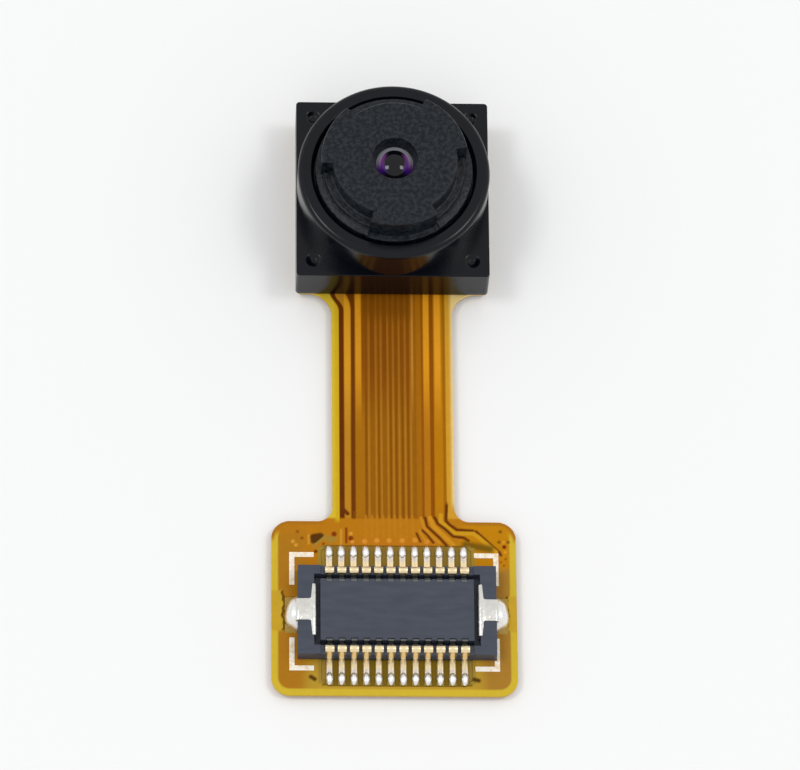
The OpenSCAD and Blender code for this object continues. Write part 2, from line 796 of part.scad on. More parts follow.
// Room for one contact in a long wall, on both sides of its rib, and for its arm in the island
module contact_slot(x) {
    block(x - slot_w / 2, x + slot_w / 2, rib_r, housing_side + eps,
        housing_z - eps, housing_top + eps);
    block(x - slot_w / 2, x + slot_w / 2, -crest_r - trench_w - contact_t - arm_gap, -rib_r,
        floor_top, housing_top + eps);
}

// Cut in an end wall for the hold-down's strap and prongs
module strap_notch() {
    block(strap_x - end_wall_t - eps, strap_x + eps, -strap_w / 2, strap_w / 2,
        strap_top - strap_t, housing_top + eps);
}

// One contact: tail, outer leg, crest, inner leg, bottom and spring arm, in its own frame
module contact() {
    arm_y = -crest_r - trench_w - contact_t;
    rotate([90, 0, 90]) {
        linear_extrude(contact_w, center = true) {
            translate([rib_r, copper_top]) square([tail_l - rib_r, contact_t]);
            translate([rib_r, copper_top]) square([contact_t, crest_centre_z - copper_top]);
            translate([-crest_r, floor_top]) square([contact_t, crest_centre_z - floor_top]);
            translate([arm_y, floor_top]) square([-rib_r - arm_y, contact_t]);
            translate([arm_y, floor_top])
                square([contact_t, housing_top - arm_drop - floor_top]);
        }
        linear_extrude(crest_w, center = true) translate([0, crest_centre_z]) difference() {
            circle(crest_r);
            circle(rib_r);
            translate([-1, -1]) square([2, 1]);
        }
    }
}

module contact_row() {
    for (i = [0 : contact_count - 1]) translate([contact_x(i), 0, 0]) contact();
}

module upper_contacts() {
    color("gold") at_upper_row() contact_row();
}

module lower_contacts() {
    color("gold") at_lower_row() contact_row();
}

// Hold-down: foot, outer leg, strap over the end wall and prongs inside the trench
module hold_down() {
    block(strap_x, foot_end_x, -strap_w / 2, strap_w / 2, copper_top, copper_top + strap_t);
    block(strap_x, strap_outer_x, -strap_w / 2, strap_w / 2, copper_top, strap_top);
    block(cavity_end_x - strap_t, strap_outer_x, -strap_w / 2, strap_w / 2,
        strap_top - strap_t, strap_top);
    block(cavity_end_x - strap_t, cavity_end_x, -strap_w / 2, strap_w / 2,
        housing_top - prong_drop - prong_h, strap_top);
    block(cavity_end_x - strap_t, cavity_end_x, -prong_l / 2, prong_l / 2,
        housing_top - prong_drop - prong_h, housing_top - prong_drop);
}

module left_hold_down() {
    color("silver") at_left_end() hold_down();
}

module right_hold_down() {
    color("silver") at_right_end() hold_down();
}

// Solder over the end of each contact's tail
module contact_solder() {
    color("gainsboro") at_rows() for (i = [0 : contact_count - 1])
        translate([contact_x(i), 0, 0]) difference() {
            rotate([90, 0, 90]) linear_extrude(contact_pad_w, center = true)
                translate([tail_l, copper_top]) intersection() {
                    circle(solder_r);
                    translate([-1, 0]) square([2, 1]);
                }
            block(-contact_w / 2, contact_w / 2, 0, tail_l, copper_top, copper_top + contact_t);
        }
}

// Solder over the hold-downs' feet: a quarter round with round ends
module hold_down_solder() {
    color("gainsboro") at_ends() difference() {
        intersection() {
            union() {
                translate([strap_outer_x, 0, copper_top]) rotate([90, 0, 0])
                    cylinder(h = anchor_solder_l, r = anchor_solder_r, center = true);
                for (end = [-1, 1])
                    translate([strap_outer_x, end * anchor_solder_l / 2, copper_top])
                        sphere(anchor_solder_r);
            }
            block(strap_outer_x, anchor_pad_end, -anchor_pad_l / 2, anchor_pad_l / 2,
                copper_top, copper_top + anchor_solder_r);
        }
        block(strap_x, foot_end_x, -strap_w / 2, strap_w / 2, copper_top, copper_top + strap_t);
    }
}

camera_stiffener();
connector_stiffener();
stiffener_adhesive();
bottom_cover_film();
base_film();
copper_tracks();
solder_pads();
sensor_pads();
top_cover_film();
corner_marks();
holder_adhesive();
lens_holder();
infrared_filter();
lens_barrel();
front_lens();
middle_lens();
rear_lens();
front_light_shield();
rear_light_shield();
lens_retainer();
image_sensor();
die_adhesive();
bond_wires();
ceramic_capacitors();
connector_housing();
upper_contacts();
lower_contacts();
left_hold_down();
right_hold_down();
contact_solder();
hold_down_solder();
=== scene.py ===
"""Looks of a compact camera module: moulded lens holder, lens barrel, flexible circuit and socket.

Shapes are worked out in millimetres as numpy arrays, on grids or along paths, and are scaled to
metres when they become meshes. Places come from the solids' boxes.
"""

import math

import bpy
import numpy as np
from mathutils import Matrix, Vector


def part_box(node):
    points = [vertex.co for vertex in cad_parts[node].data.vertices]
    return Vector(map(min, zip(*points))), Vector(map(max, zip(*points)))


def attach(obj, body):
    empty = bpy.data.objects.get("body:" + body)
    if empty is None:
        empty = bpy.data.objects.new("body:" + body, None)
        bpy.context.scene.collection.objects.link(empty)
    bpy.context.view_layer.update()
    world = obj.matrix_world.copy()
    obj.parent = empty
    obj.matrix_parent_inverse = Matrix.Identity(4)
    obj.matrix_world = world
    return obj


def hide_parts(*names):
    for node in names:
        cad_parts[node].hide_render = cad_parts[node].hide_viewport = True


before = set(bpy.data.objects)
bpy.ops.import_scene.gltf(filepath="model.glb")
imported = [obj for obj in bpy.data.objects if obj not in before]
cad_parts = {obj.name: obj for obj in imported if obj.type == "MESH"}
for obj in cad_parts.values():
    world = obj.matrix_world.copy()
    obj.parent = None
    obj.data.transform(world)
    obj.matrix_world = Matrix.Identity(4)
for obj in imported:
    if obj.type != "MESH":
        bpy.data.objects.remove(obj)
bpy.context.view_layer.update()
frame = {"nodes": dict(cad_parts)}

MM = 0.001


def corners(node):
    """Lowest and highest corner of a solid, in millimetres."""
    return [np.array(corner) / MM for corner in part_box(node)]


# ---------------------------------------------------------------- sizes in millimetres

film_low, film_high = corners("top_cover_film")
holder_low, holder_high = corners("lens_holder")
barrel_low, barrel_high = corners("lens_barrel")
housing_low, housing_high = corners("connector_housing")
upper_low, upper_high = corners("upper_contacts")
lower_low, lower_high = corners("lower_contacts")
copper_low, copper_high = corners("copper_tracks")
bottom_low, bottom_high = corners("bottom_cover_film")
plate_low, plate_high = corners("camera_stiffener")
head_plate_low, head_plate_high = corners("connector_stiffener")

CAMERA_Y = (holder_low[1] + holder_high[1]) / 2
FOOT_HALF = holder_high[0]
FOOT_CORNER_R = 0.12
FOOT_TOP = holder_low[2] + 1.45
RIM_Z = holder_high[2]
TOWER_R = 3.18
SKIRT_R = barrel_high[0]
SKIRT_Z = RIM_Z + 0.08
BORE_R = SKIRT_R + 0.06
CONE_R = BORE_R + 0.08
CONE_DEPTH = 0.1
FACE_Z = barrel_high[2]
HEAD_R = 2.43
NOTCH_R = 2.06
FLANGE_Z = FACE_Z - 0.65
HEAD_Z = RIM_Z - 0.38
MOUTH_R = 0.75
THROAT_R = 0.6
THROAT_Z = FACE_Z - 0.47
THREAD_R = 2.25
LOBE_CENTRES = np.radians([37.5, 157.5, 277.5])
LOBE_HALF = math.radians(27.5)

CIRCUIT_TOP = film_high[2]
CIRCUIT_BOTTOM = bottom_low[2]
COPPER_TOP = copper_high[2]
COPPER_BOTTOM = copper_low[2]
NECK_HALF = 2.0
NECK_TOP = holder_low[1]
HEAD_HALF = film_high[0]
HEAD_BOTTOM = film_low[1]
HEAD_TOP = HEAD_BOTTOM + 6.1
HEAD_Y = (HEAD_BOTTOM + HEAD_TOP) / 2
HEAD_CORNER_R = 0.6
NECK_FILLET_R = 0.5
FLARE_R = 0.8
PAD_HALF = FOOT_HALF - 0.05

SOCKET_X = (housing_low[0] + housing_high[0]) / 2
SOCKET_Y = (housing_low[1] + housing_high[1]) / 2
HOUSING_HALF_X = (housing_high[0] - housing_low[0]) / 2
HOUSING_TOP = housing_high[2]
TAIL_L = 0.86
ROW_Y = upper_high[1] - TAIL_L - SOCKET_Y
CREST_Z = upper_high[2]
PITCH = 0.4
COUNT = 12
CONTACT_X = (np.arange(COUNT) - (COUNT - 1) / 2) * PITCH
CONTACT_T = 0.07
CONTACT_W = 0.2
CREST_W = 0.3
CREST_R = 0.095
PAD_END = TAIL_L + 0.2
WALL_T = 0.53
STRAP_W = 0.76
STRAP_T = 0.08
PRONG_L = 1.8
FOOT_REACH = 0.22

# ---------------------------------------------------------------- shapes as arrays


def rise(value, middle, width):
    """Smooth step from 0 to 1, centred on middle: 3 t^2 - 2 t^3 with t running over width."""
    t = np.clip((value - middle) / width + 0.5, 0.0, 1.0)
    return t * t * (3.0 - 2.0 * t)


def strip(value, low, high, soft=0.03):
    """1 between low and high, and 0 outside, with soft edges."""
    return rise(value, low, soft) * (1.0 - rise(value, high, soft))


def unit(vector):
    return vector / np.linalg.norm(vector)


def rounded_path(points, radii, steps=6):
    """Path through points with each inner corner replaced by an arc of its radius.

    The arc's centre lies on the corner's bisector at radius / sin(half the angle), and its points
    turn evenly about the centre from one tangent point to the other.
    """
    points = np.asarray(points, float)
    rows = [points[:1]]
    for before, corner, after, radius in zip(points, points[1:], points[2:], radii):
        back, on = unit(before - corner), unit(after - corner)
        half = math.acos(max(-1.0, min(1.0, float(back @ on)))) / 2
        reach = radius / math.tan(half)
        centre = corner + unit(back + on) * radius / math.sin(half)
        sweep = math.pi - 2 * half
        t = np.linspace(0, 1, steps + 1)[:, None]
        start, end = corner + back * reach - centre, corner + on * reach - centre
        arc = (np.sin((1 - t) * sweep) * start + np.sin(t * sweep) * end) / math.sin(sweep)
        rows.append(centre + arc)
    rows.append(points[-1:])
    return np.concatenate(rows)


def along(start, end, count):
    """Count points from start to end, without the end."""
    t = np.arange(count)[:, None] / count
    return np.asarray(start, float) * (1 - t) + np.asarray(end, float) * t


def grid_faces(rows, columns, close_rows=False, close_columns=False):
    """Quads of a grid whose points run row by row; closing joins the last row or column to the first."""
    i = np.arange(rows if close_rows else rows - 1)[:, None]
    j = np.arange(columns if close_columns else columns - 1)[None, :]
    i2, j2 = (i + 1) % rows, (j + 1) % columns
    quads = [i * columns + j, i * columns + j2, i2 * columns + j2, i2 * columns + j]
    return np.stack(np.broadcast_arrays(*quads), -1).reshape(-1, 4)


def outward(points, faces):
    """The shell with its faces turned out: its volume, a sum of tetrahedra, must be positive."""
    middle = points.mean(0)
    volume = 0.0
    for face in faces:
        a, b, c = (points[face[:, k]] - middle for k in (0, 1, 2))
        volume += np.einsum("ij,ij->", a, np.cross(b, c))
        if face.shape[1] == 4:
            volume += np.einsum("ij,ij->", a, np.cross(c, points[face[:, 3]] - middle))
    return points, faces if volume > 0 else [face[:, ::-1] for face in faces]


def grid_shell(points, close_rows=False, close_columns=False, cap_rows=False):
    """Shell of a grid of points (rows, columns, 3). Caps close the first and last rows flat."""
    rows, columns = points.shape[:2]
    faces = [grid_faces(rows, columns, close_rows, close_columns)]
    if cap_rows:
        last = (rows - 1) * columns + np.arange(columns)
        faces += [np.arange(columns)[::-1][None], last[None]]
    return outward(points.reshape(-1, 3), faces)


def copies(shell, offsets):
    """The shell repeated at each offset, as one shell."""
    points, faces = shell
    offsets = np.asarray(offsets, float)
    moved = (points[None] + offsets[:, None]).reshape(-1, 3)
    first = np.arange(len(offsets))[:, None, None] * len(points)
    return moved, [(face[None] + first).reshape(-1, face.shape[1]) for face in faces]


def mirrored(shell, axis):
    """The shell mirrored in the plane where that axis is zero, with its faces turned back."""
    points, faces = shell
    points = points.copy()
    points[:, axis] *= -1
    return points, [face[:, ::-1] for face in faces]


def swept(path, normals, widths, thickness, corner):
    """Strip of a rounded rectangular section carried along a path in the plane of Y and Z.

    A section point lies at X = half the width, and off the path along its normal by half the
    thickness; its corners are quarter circles. widths holds one width per path point.
    """
    quarter = np.linspace(0, math.pi / 2, 3)
    turns = np.concatenate([quarter + k * math.pi / 2 for k in range(4)])
    side_x = np.repeat([1, -1, -1, 1], 3)
    side_n = np.repeat([1, 1, -1, -1], 3)
    off = side_n * (thickness / 2 - corner) + corner * np.sin(turns)
    x = side_x * (np.asarray(widths)[:, None] / 2 - corner) + corner * np.cos(turns)
    yz = path[:, None] + off[None, :, None] * normals[:, None]
    return grid_shell(np.concatenate([x[..., None], yz], -1), close_columns=True, cap_rows=True)


def normals_of(path):
    """Unit normals of a plane path: its tangent turned by a quarter turn."""
    tangent = np.gradient(path, axis=0)
    tangent /= np.linalg.norm(tangent, axis=1)[:, None]
    return np.stack([-tangent[:, 1], tangent[:, 0]], -1)


def dome(half_x, half_y, height, rows=10, columns=28, lumps=0.0):
    """Drop standing on Z = 0: the upper half of an ellipsoid on a short foot, swept to a pole.

    Lumps is the share by which waves round the rim push the sides in and out.
    """
    up = np.linspace(0.04, 1, rows)[::-1] * math.pi / 2
    turn = np.arange(columns) / columns * 2 * math.pi
    wave = 1 + lumps * (np.cos(3 * turn + 1) + 0.6 * np.cos(5 * turn + 2.3))
    ring = np.concatenate([np.cos(up), [1.0]])
    level = np.concatenate([np.sin(up) * height, [0.0]])
    ring[0] = 0.02
    x = half_x * ring[:, None] * np.cos(turn) * wave
    y = half_y * ring[:, None] * np.sin(turn) * wave
    points = np.stack([x, y, np.broadcast_to(level[:, None], x.shape)], -1)
    return grid_shell(points, close_columns=True, cap_rows=True)


def moved(shell, offset):
    return shell[0] + np.asarray(offset, float), shell[1]


def piece(name, shells, finish, slot, *nodes, sharp=None, fields=None):
    """Makes one mesh of the shells. It rides on the body and stands for the nodes.

    Fields are named arrays, one row per point: numbers, or linear colours with three columns.
    """
    points, faces, first = [], [], 0
    for shell_points, face_sets in shells:
        for face_set in face_sets:
            faces += (face_set + first).tolist()
        points.append(shell_points)
        first += len(shell_points)
    mesh = bpy.data.meshes.new(name)
    mesh.from_pydata((np.concatenate(points) * MM).tolist(), [], faces)
    mesh.shade_smooth()
    if sharp is not None:
        mesh.set_sharp_from_angle(angle=math.radians(sharp))
    for field, values in (fields or {}).items():
        if values.ndim == 1:
            made = mesh.attributes.new(field, "FLOAT", "POINT")
            made.data.foreach_set("value", values.astype(np.float32))
        else:
            made = mesh.attributes.new(field, "FLOAT_COLOR", "POINT")
            colours = np.ones((len(values), 4), np.float32)
            colours[:, :3] = values
            made.data.foreach_set("color", colours.ravel())
    mesh.materials.append(finish)
    made = bpy.data.objects.new(name, mesh)
    bpy.context.scene.collection.objects.link(made)
    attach(made, "root")
    if nodes:
        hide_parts(*nodes)
    return made


def angles(count, dense_at, width, gain):
    """Angles round a full turn, closer together near some of them.

    The spacing is the inverse of a density: 1 plus gain times a bell of the given width at each
    dense angle. The angles are where the density's running sum passes equal steps.
    """
    fine = np.linspace(0, 2 * math.pi, 40001)
    gap = (fine[:, None] - np.asarray(dense_at)[None] + math.pi) % (2 * math.pi) - math.pi
    density = 1 + gain * np.exp(-((gap / width) ** 2)).sum(1)
    total = np.concatenate([[0], np.cumsum((density[1:] + density[:-1]) / 2)])
    return np.interp(np.arange(count) / count * total[-1], total, fine)


def square_reach(angle, half, corner_r):
    """Distance from the centre of a rounded square to its side, in the direction of angle.

    On a flat side it is half / cos; on a corner it is the far crossing with the corner's circle.
    """
    folded = np.abs((angle + math.pi / 4) % (math.pi / 2) - math.pi / 4)
    flat = half / np.cos(folded)
    inner = half - corner_r
    middle = inner * (np.cos(folded) + np.sin(folded))
    square = np.maximum(middle**2 - 2 * inner**2 + corner_r**2, 0)
    return np.where(np.sin(folded) * flat > inner, middle + np.sqrt(square), flat)


def edged_path(points, radii, steps=4, support=0.02):
    """Rounded path with a support point just before and after each arc, so that flats stay flat."""
    points = np.asarray(points, float)
    rows = [points[:1]]
    for before, corner, after, radius in zip(points, points[1:], points[2:], radii):
        arc = rounded_path([before, corner, after], [radius], steps)[1:-1]
        rows += [arc[:1] + unit(before - corner) * support, arc]
        rows += [arc[-1:] + unit(after - corner) * support]
    rows.append(points[-1:])
    return np.concatenate(rows)


# ---------------------------------------------------------------- lens holder


def holder_shell():
    """Holder as one loop of rows swept round the lens axis.

    Each row is a height and a mix of a circle's radius and a rounded square's reach, so the round
    tower runs out into the square foot. Four dimples are soft round dips in the foot's top.
    """
    seat_z = holder_low[2] + 0.78
    roof_z = FOOT_TOP - 0.36
    shelf_z = roof_z + 0.2
    edge = 0.02
    inner = edged_path(
        [
            (FOOT_HALF - WALL_T, holder_low[2] + 0.02),
            (FOOT_HALF - WALL_T, seat_z),
            (2.35, seat_z),
            (2.35, roof_z),
            (2.1, roof_z),
        ],
        [0.02] * 3,
        2,
    )
    bore = edged_path(
        [
            (1.9, roof_z),
            (1.75, roof_z),
            (1.75, shelf_z),
            (THREAD_R + 0.02, shelf_z),
            (THREAD_R + 0.02, HEAD_Z - 0.05),
            (BORE_R, HEAD_Z - 0.05),
            (BORE_R, RIM_Z - CONE_DEPTH),
            (CONE_R, RIM_Z),
            (TOWER_R, RIM_Z),
            (TOWER_R, FOOT_TOP + 0.012),
        ],
        [0.02, 0.02, 0.02, 0.02, 0.02, 0.03, 0.04, 0.18],
        4,
    )
    across = np.linspace(0, 1, 58)
    arc = np.linspace(0, math.pi / 2, 5)
    side = along((0, FOOT_TOP - 2 * edge), (0, holder_low[2] + 2 * edge), 8)[:, 1]
    circle = np.concatenate([inner[:, 0], bore[:, 0], np.full(58, TOWER_R)])
    square = np.concatenate([inner[:, 0], bore[:, 0], np.full(58, FOOT_HALF - edge)])
    mix = np.concatenate([np.ones(len(inner)), np.zeros(len(bore)), across])
    height = np.concatenate([inner[:, 1], bore[:, 1], np.full(58, FOOT_TOP)])
    outer = [
        (FOOT_HALF - edge * (1 - math.sin(a)), FOOT_TOP - edge * (1 - math.cos(a)))
        for a in arc[1:]
    ]
    outer += [(FOOT_HALF, z) for z in side]
    outer += [
        (FOOT_HALF - edge * (1 - math.cos(a)), holder_low[2] + edge * (1 - math.sin(a)))
        for a in arc
    ]
    outer += [(FOOT_HALF - WALL_T + 0.04, holder_low[2])]
    outer = np.array(outer)
    circle = np.concatenate([circle, outer[:, 0]])
    square = np.concatenate([square, outer[:, 0]])
    mix = np.concatenate([mix, np.ones(len(outer))])
    height = np.concatenate([height, outer[:, 1]])

    corners_at = (np.arange(4) + 0.5) * math.pi / 2
    angle = angles(720, corners_at, 0.16, 5.0)[None]
    reach = square_reach(angle, square[:, None], FOOT_CORNER_R)
    radius = (1 - mix[:, None]) * circle[:, None] + mix[:, None] * reach
    x, y = radius * np.cos(angle), radius * np.sin(angle)
    z = np.broadcast_to(height[:, None], x.shape).copy()
    dimple_at = FOOT_HALF - 0.57
    away = np.hypot(np.abs(x) - dimple_at, np.abs(y) - dimple_at)
    on_top = (np.abs(z - FOOT_TOP) < 1e-6) & (mix[:, None] > 0)
    z -= np.where(on_top, 0.1 * (1 - rise(away, 0.17, 0.2)), 0)
    points = np.stack([x, y + CAMERA_Y, z], -1)
    return grid_shell(points, close_rows=True, close_columns=True)


# ---------------------------------------------------------------- lens barrel and lens


def lobes(angle):
    """1 on the head's three lobes and 0 in the notches between them."""
    gap = (angle[:, None] - LOBE_CENTRES[None] + math.pi) % (2 * math.pi) - math.pi
    return strip(gap, -LOBE_HALF, LOBE_HALF, 0.025).max(1)


def barrel_shell():
    """Barrel as a loop of rows swept round the lens axis.

    One profile runs through a notch and another through a lobe, row for row, and lobes() mixes
    them. Three shallow dips sink into the face near the edge of the lobe over the flexible circuit.
    """
    low, middle = SKIRT_Z - 0.1, FACE_Z - 0.2
    mouth = edged_path(
        [(THROAT_R + 0.3, THROAT_Z), (THROAT_R, THROAT_Z), (MOUTH_R, FACE_Z), (0.95, FACE_Z)],
        [0.03, 0.04],
        4,
    )
    share = np.linspace(0, 1, 46)[:, None]
    face = {}
    for key, reach in (("notch", NOTCH_R), ("lobe", HEAD_R)):
        flat = np.array([(0.95, FACE_Z)]) * (1 - share) + np.array([(reach - 0.1, FACE_Z)]) * share
        edge = edged_path([(reach - 0.1, FACE_Z), (reach, FACE_Z), (reach, middle)], [0.07], 5)
        face[key] = np.concatenate([mouth[:-1], flat[:-1], edge])
    notch = edged_path(
        [
            (NOTCH_R, middle),
            (NOTCH_R, FLANGE_Z),
            (2.33, FLANGE_Z - 0.02),
            (2.36, FLANGE_Z - 0.16),
            (2.42, FLANGE_Z - 0.16),
            (SKIRT_R, SKIRT_Z),
            (SKIRT_R, low),
        ],
        [0.05, 0.04, 0.02, 0.02, 0.04],
        3,
    )[1:]
    lobe = edged_path(
        [(HEAD_R, middle), (HEAD_R, SKIRT_Z - 0.04), (SKIRT_R, SKIRT_Z - 0.08), (SKIRT_R, low)],
        [0.02, 0.02],
        4,
        0.03,
    )[1:]
    lobe = lobe[np.linspace(0, len(lobe) - 1, len(notch)).round().astype(int)]
    inside = edged_path(
        [
            (SKIRT_R, low),
            (SKIRT_R, HEAD_Z),
            (THREAD_R, HEAD_Z),
            (THREAD_R, barrel_low[2]),
            (1.85, barrel_low[2]),
            (1.85, 2.4),
            (1.6, 2.4),
            (1.6, 2.95),
            (1.4, 2.95),
            (1.4, THROAT_Z),
            (THROAT_R + 0.35, THROAT_Z),
        ],
        [0.03] * 9,
        2,
    )[1:-1]
    in_notch = np.concatenate([face["notch"], notch, inside])
    on_lobe = np.concatenate([face["lobe"], lobe, inside])
    edges = np.concatenate([LOBE_CENTRES - LOBE_HALF, LOBE_CENTRES + LOBE_HALF])
    angle = angles(760, edges, 0.03, 9.0)
    share = lobes(angle)[None, :, None]
    profile = in_notch[:, None] * (1 - share) + on_lobe[:, None] * share
    x, y = profile[..., 0] * np.cos(angle), profile[..., 0] * np.sin(angle)
    z = profile[..., 1].copy()
    for nub_x in (-0.54, 0.03, 0.56):
        away = np.hypot(x - nub_x, y + 2.02)
        z += np.where(z > FACE_Z - 0.01, -0.06 * np.exp(-((away / 0.06) ** 2)), 0)
    points = np.stack([x, y + CAMERA_Y, z], -1)
    return grid_shell(points, close_rows=True, close_columns=True)


def lens_shell():
    """Front lens: a cap of a sphere inside the throat on a disc, swept round the axis to a pole."""
    lens_low, lens_high = corners("front_lens")
    height = 0.22
    radius = THROAT_R - 0.01
    sphere = (radius**2 + height**2) / (2 * height)
    r = np.linspace(0, radius, 28)[1:]
    cap = np.stack([r, THROAT_Z + height - sphere + np.sqrt(sphere**2 - r**2)], -1)
    rest = edged_path(
        [cap[-1], (1.37, THROAT_Z - 0.004), (1.37, lens_low[2] + 0.02), (0.05, lens_low[2] + 0.02)],
        [0.03, 0.03],
        3,
    )[1:]
    rows = np.concatenate([cap, rest])
    angle = np.arange(160) / 160 * 2 * math.pi
    x = rows[:, :1] * np.cos(angle)
    y = rows[:, :1] * np.sin(angle)
    z = np.broadcast_to(rows[:, 1:], x.shape)
    points, faces = grid_shell(np.stack([x, y, z], -1), close_columns=True, cap_rows=True)
    return points + np.array([0, CAMERA_Y, 0]), faces


# ---------------------------------------------------------------- socket's metal parts


def contact_shell():
    """One contact at the origin of its row: tail, outer leg, crest, inner leg and spring arm."""
    half = CONTACT_T / 2
    floor = housing_low[2] + 0.12 + half
    arm = -0.335
    path = edged_path(
        [
            (TAIL_L, COPPER_TOP + half),
            (CREST_R, COPPER_TOP + half),
            (CREST_R, CREST_Z - half),
            (-CREST_R, CREST_Z - half),
            (-CREST_R, floor),
            (arm, floor),
            (arm, HOUSING_TOP - 0.05),
        ],
        [0.06, CREST_R - 0.001, CREST_R - 0.001, 0.05, 0.05],
        7,
        0.01,
    )
    low = np.where(path[:, 0] > 0, CREST_Z - 0.34, CREST_Z - 0.15)
    over = rise(path[:, 1], low, 0.1) * (np.abs(path[:, 0]) < 0.2)
    widths = CONTACT_W + (CREST_W - CONTACT_W) * over
    return swept(path, normals_of(path), widths, CONTACT_T, 0.022)


def hold_down_shell():
    """Right hold-down, along +Y of its own plane: foot, outer leg, strap and prongs.

    The strap widens over the end wall into the two prongs that line the trench.
    """
    half = STRAP_T / 2
    outer = HOUSING_HALF_X + half
    inner = HOUSING_HALF_X - WALL_T - half
    top = HOUSING_TOP + 0.02 - half
    path = edged_path(
        [
            (outer + half + FOOT_REACH, COPPER_TOP + half),
            (outer, COPPER_TOP + half),
            (outer, top),
            (inner, top),
            (inner, HOUSING_TOP - 0.32),
        ],
        [0.05, 0.09, 0.07],
        7,
        0.03,
    )
    fine = np.concatenate([along(a, b, 9) for a, b in zip(path, path[1:])] + [path[-1:]])
    widths = PRONG_L - (PRONG_L - STRAP_W) * rise(fine[:, 0], inner + 0.13, 0.04)
    return swept(fine, normals_of(fine), widths, STRAP_T, 0.022)


def to_right_end(shell):
    """Turns a shell from its own plane, where it points along +Y, to point along +X."""
    points, faces = shell
    return np.stack([points[:, 1], -points[:, 0], points[:, 2]], -1), faces


def row_of(shell, upper):
    """The shell at each contact's place in the upper or the lower row."""
    placed = copies(shell, [(x, 0, 0) for x in CONTACT_X])
    if not upper:
        placed = mirrored(placed, 1)
    return moved(placed, (SOCKET_X, SOCKET_Y + (ROW_Y if upper else -ROW_Y), 0))


def at_end(shell, right):
    """The shell, which points along +X, at the right or the left end of the socket."""
    return moved(shell if right else mirrored(shell, 0), (SOCKET_X, SOCKET_Y, 0))


# ---------------------------------------------------------------- flat parts


def slab(half_x, half_y, corner_r, low, high, edge, middle_y, turns=9):
    """Plate with a rounded rectangular outline and edges rounded by a small radius.

    Each row is the outline drawn in by the edge's own quarter circle; both ends are closed flat.
    """
    quarter = np.linspace(0, math.pi / 2, turns)
    turn = np.concatenate([quarter + k * math.pi / 2 for k in range(4)])
    mid_x = np.repeat([1, -1, -1, 1], turns) * (half_x - corner_r)
    mid_y = np.repeat([1, 1, -1, -1], turns) * (half_y - corner_r)
    bend = np.linspace(0, math.pi / 2, 4)
    inset = np.concatenate([edge * (1 - np.sin(bend)), edge * (1 - np.cos(bend))])
    level = np.concatenate([low + edge * (1 - np.cos(bend)), high - edge * (1 - np.sin(bend))])
    reach = corner_r - inset[:, None]
    x = mid_x + reach * np.cos(turn)
    y = mid_y + reach * np.sin(turn) + middle_y
    points = np.stack([x, y, np.broadcast_to(level[:, None], x.shape)], -1)
    return grid_shell(points, close_columns=True, cap_rows=True)


def box_distance(x, y, half_x, half_y, corner_r):
    """Distance to a rounded rectangle about the origin, negative inside."""
    across, up = np.abs(x) - half_x + corner_r, np.abs(y) - half_y + corner_r
    outside = np.hypot(np.maximum(across, 0), np.maximum(up, 0))
    return outside + np.minimum(np.maximum(across, up), 0) - corner_r


def circuit_distance(x, y):
    """Distance to the circuit's outline, negative inside.

    It is the least of the distances to the head, the pad under the camera and the neck, and in the
    four inner corners it is the distance to a circle that rounds the corner off.
    """
    pad_low = CAMERA_Y - PAD_HALF
    head = box_distance(x, y - HEAD_Y, HEAD_HALF, (HEAD_TOP - HEAD_BOTTOM) / 2, HEAD_CORNER_R)
    pad = box_distance(x, y - CAMERA_Y, PAD_HALF, PAD_HALF, FOOT_CORNER_R)
    neck = np.where((y > HEAD_BOTTOM + 1) & (y < CAMERA_Y), np.abs(x) - NECK_HALF, 9.0)
    distance = np.minimum(np.minimum(head, pad), neck)
    for up, radius in ((y - HEAD_TOP, NECK_FILLET_R), (pad_low - y, FLARE_R)):
        out = np.abs(x) - NECK_HALF
        bow = radius - np.hypot(radius - out, radius - up)
        near = (out < radius) & (up < radius) & (out > -0.2) & (up > -0.2)
        distance = np.where(near, np.minimum(distance, bow), distance)
    return distance


def in_order(start, end):
    """Points of one closed loop of directed edges, in order.

    Each point is given the number of edges to the loop's last point, by doubling the steps ahead.
    """
    points = np.unique(start)
    after = np.empty(len(points), int)
    after[np.searchsorted(points, start)] = np.searchsorted(points, end)
    after[0] = 0
    left = (np.arange(len(points)) != 0).astype(int)
    for _ in range(int(math.log2(len(points))) + 1):
        left = left + left[after]
        after = after[after]
    return points[np.argsort(-left)]


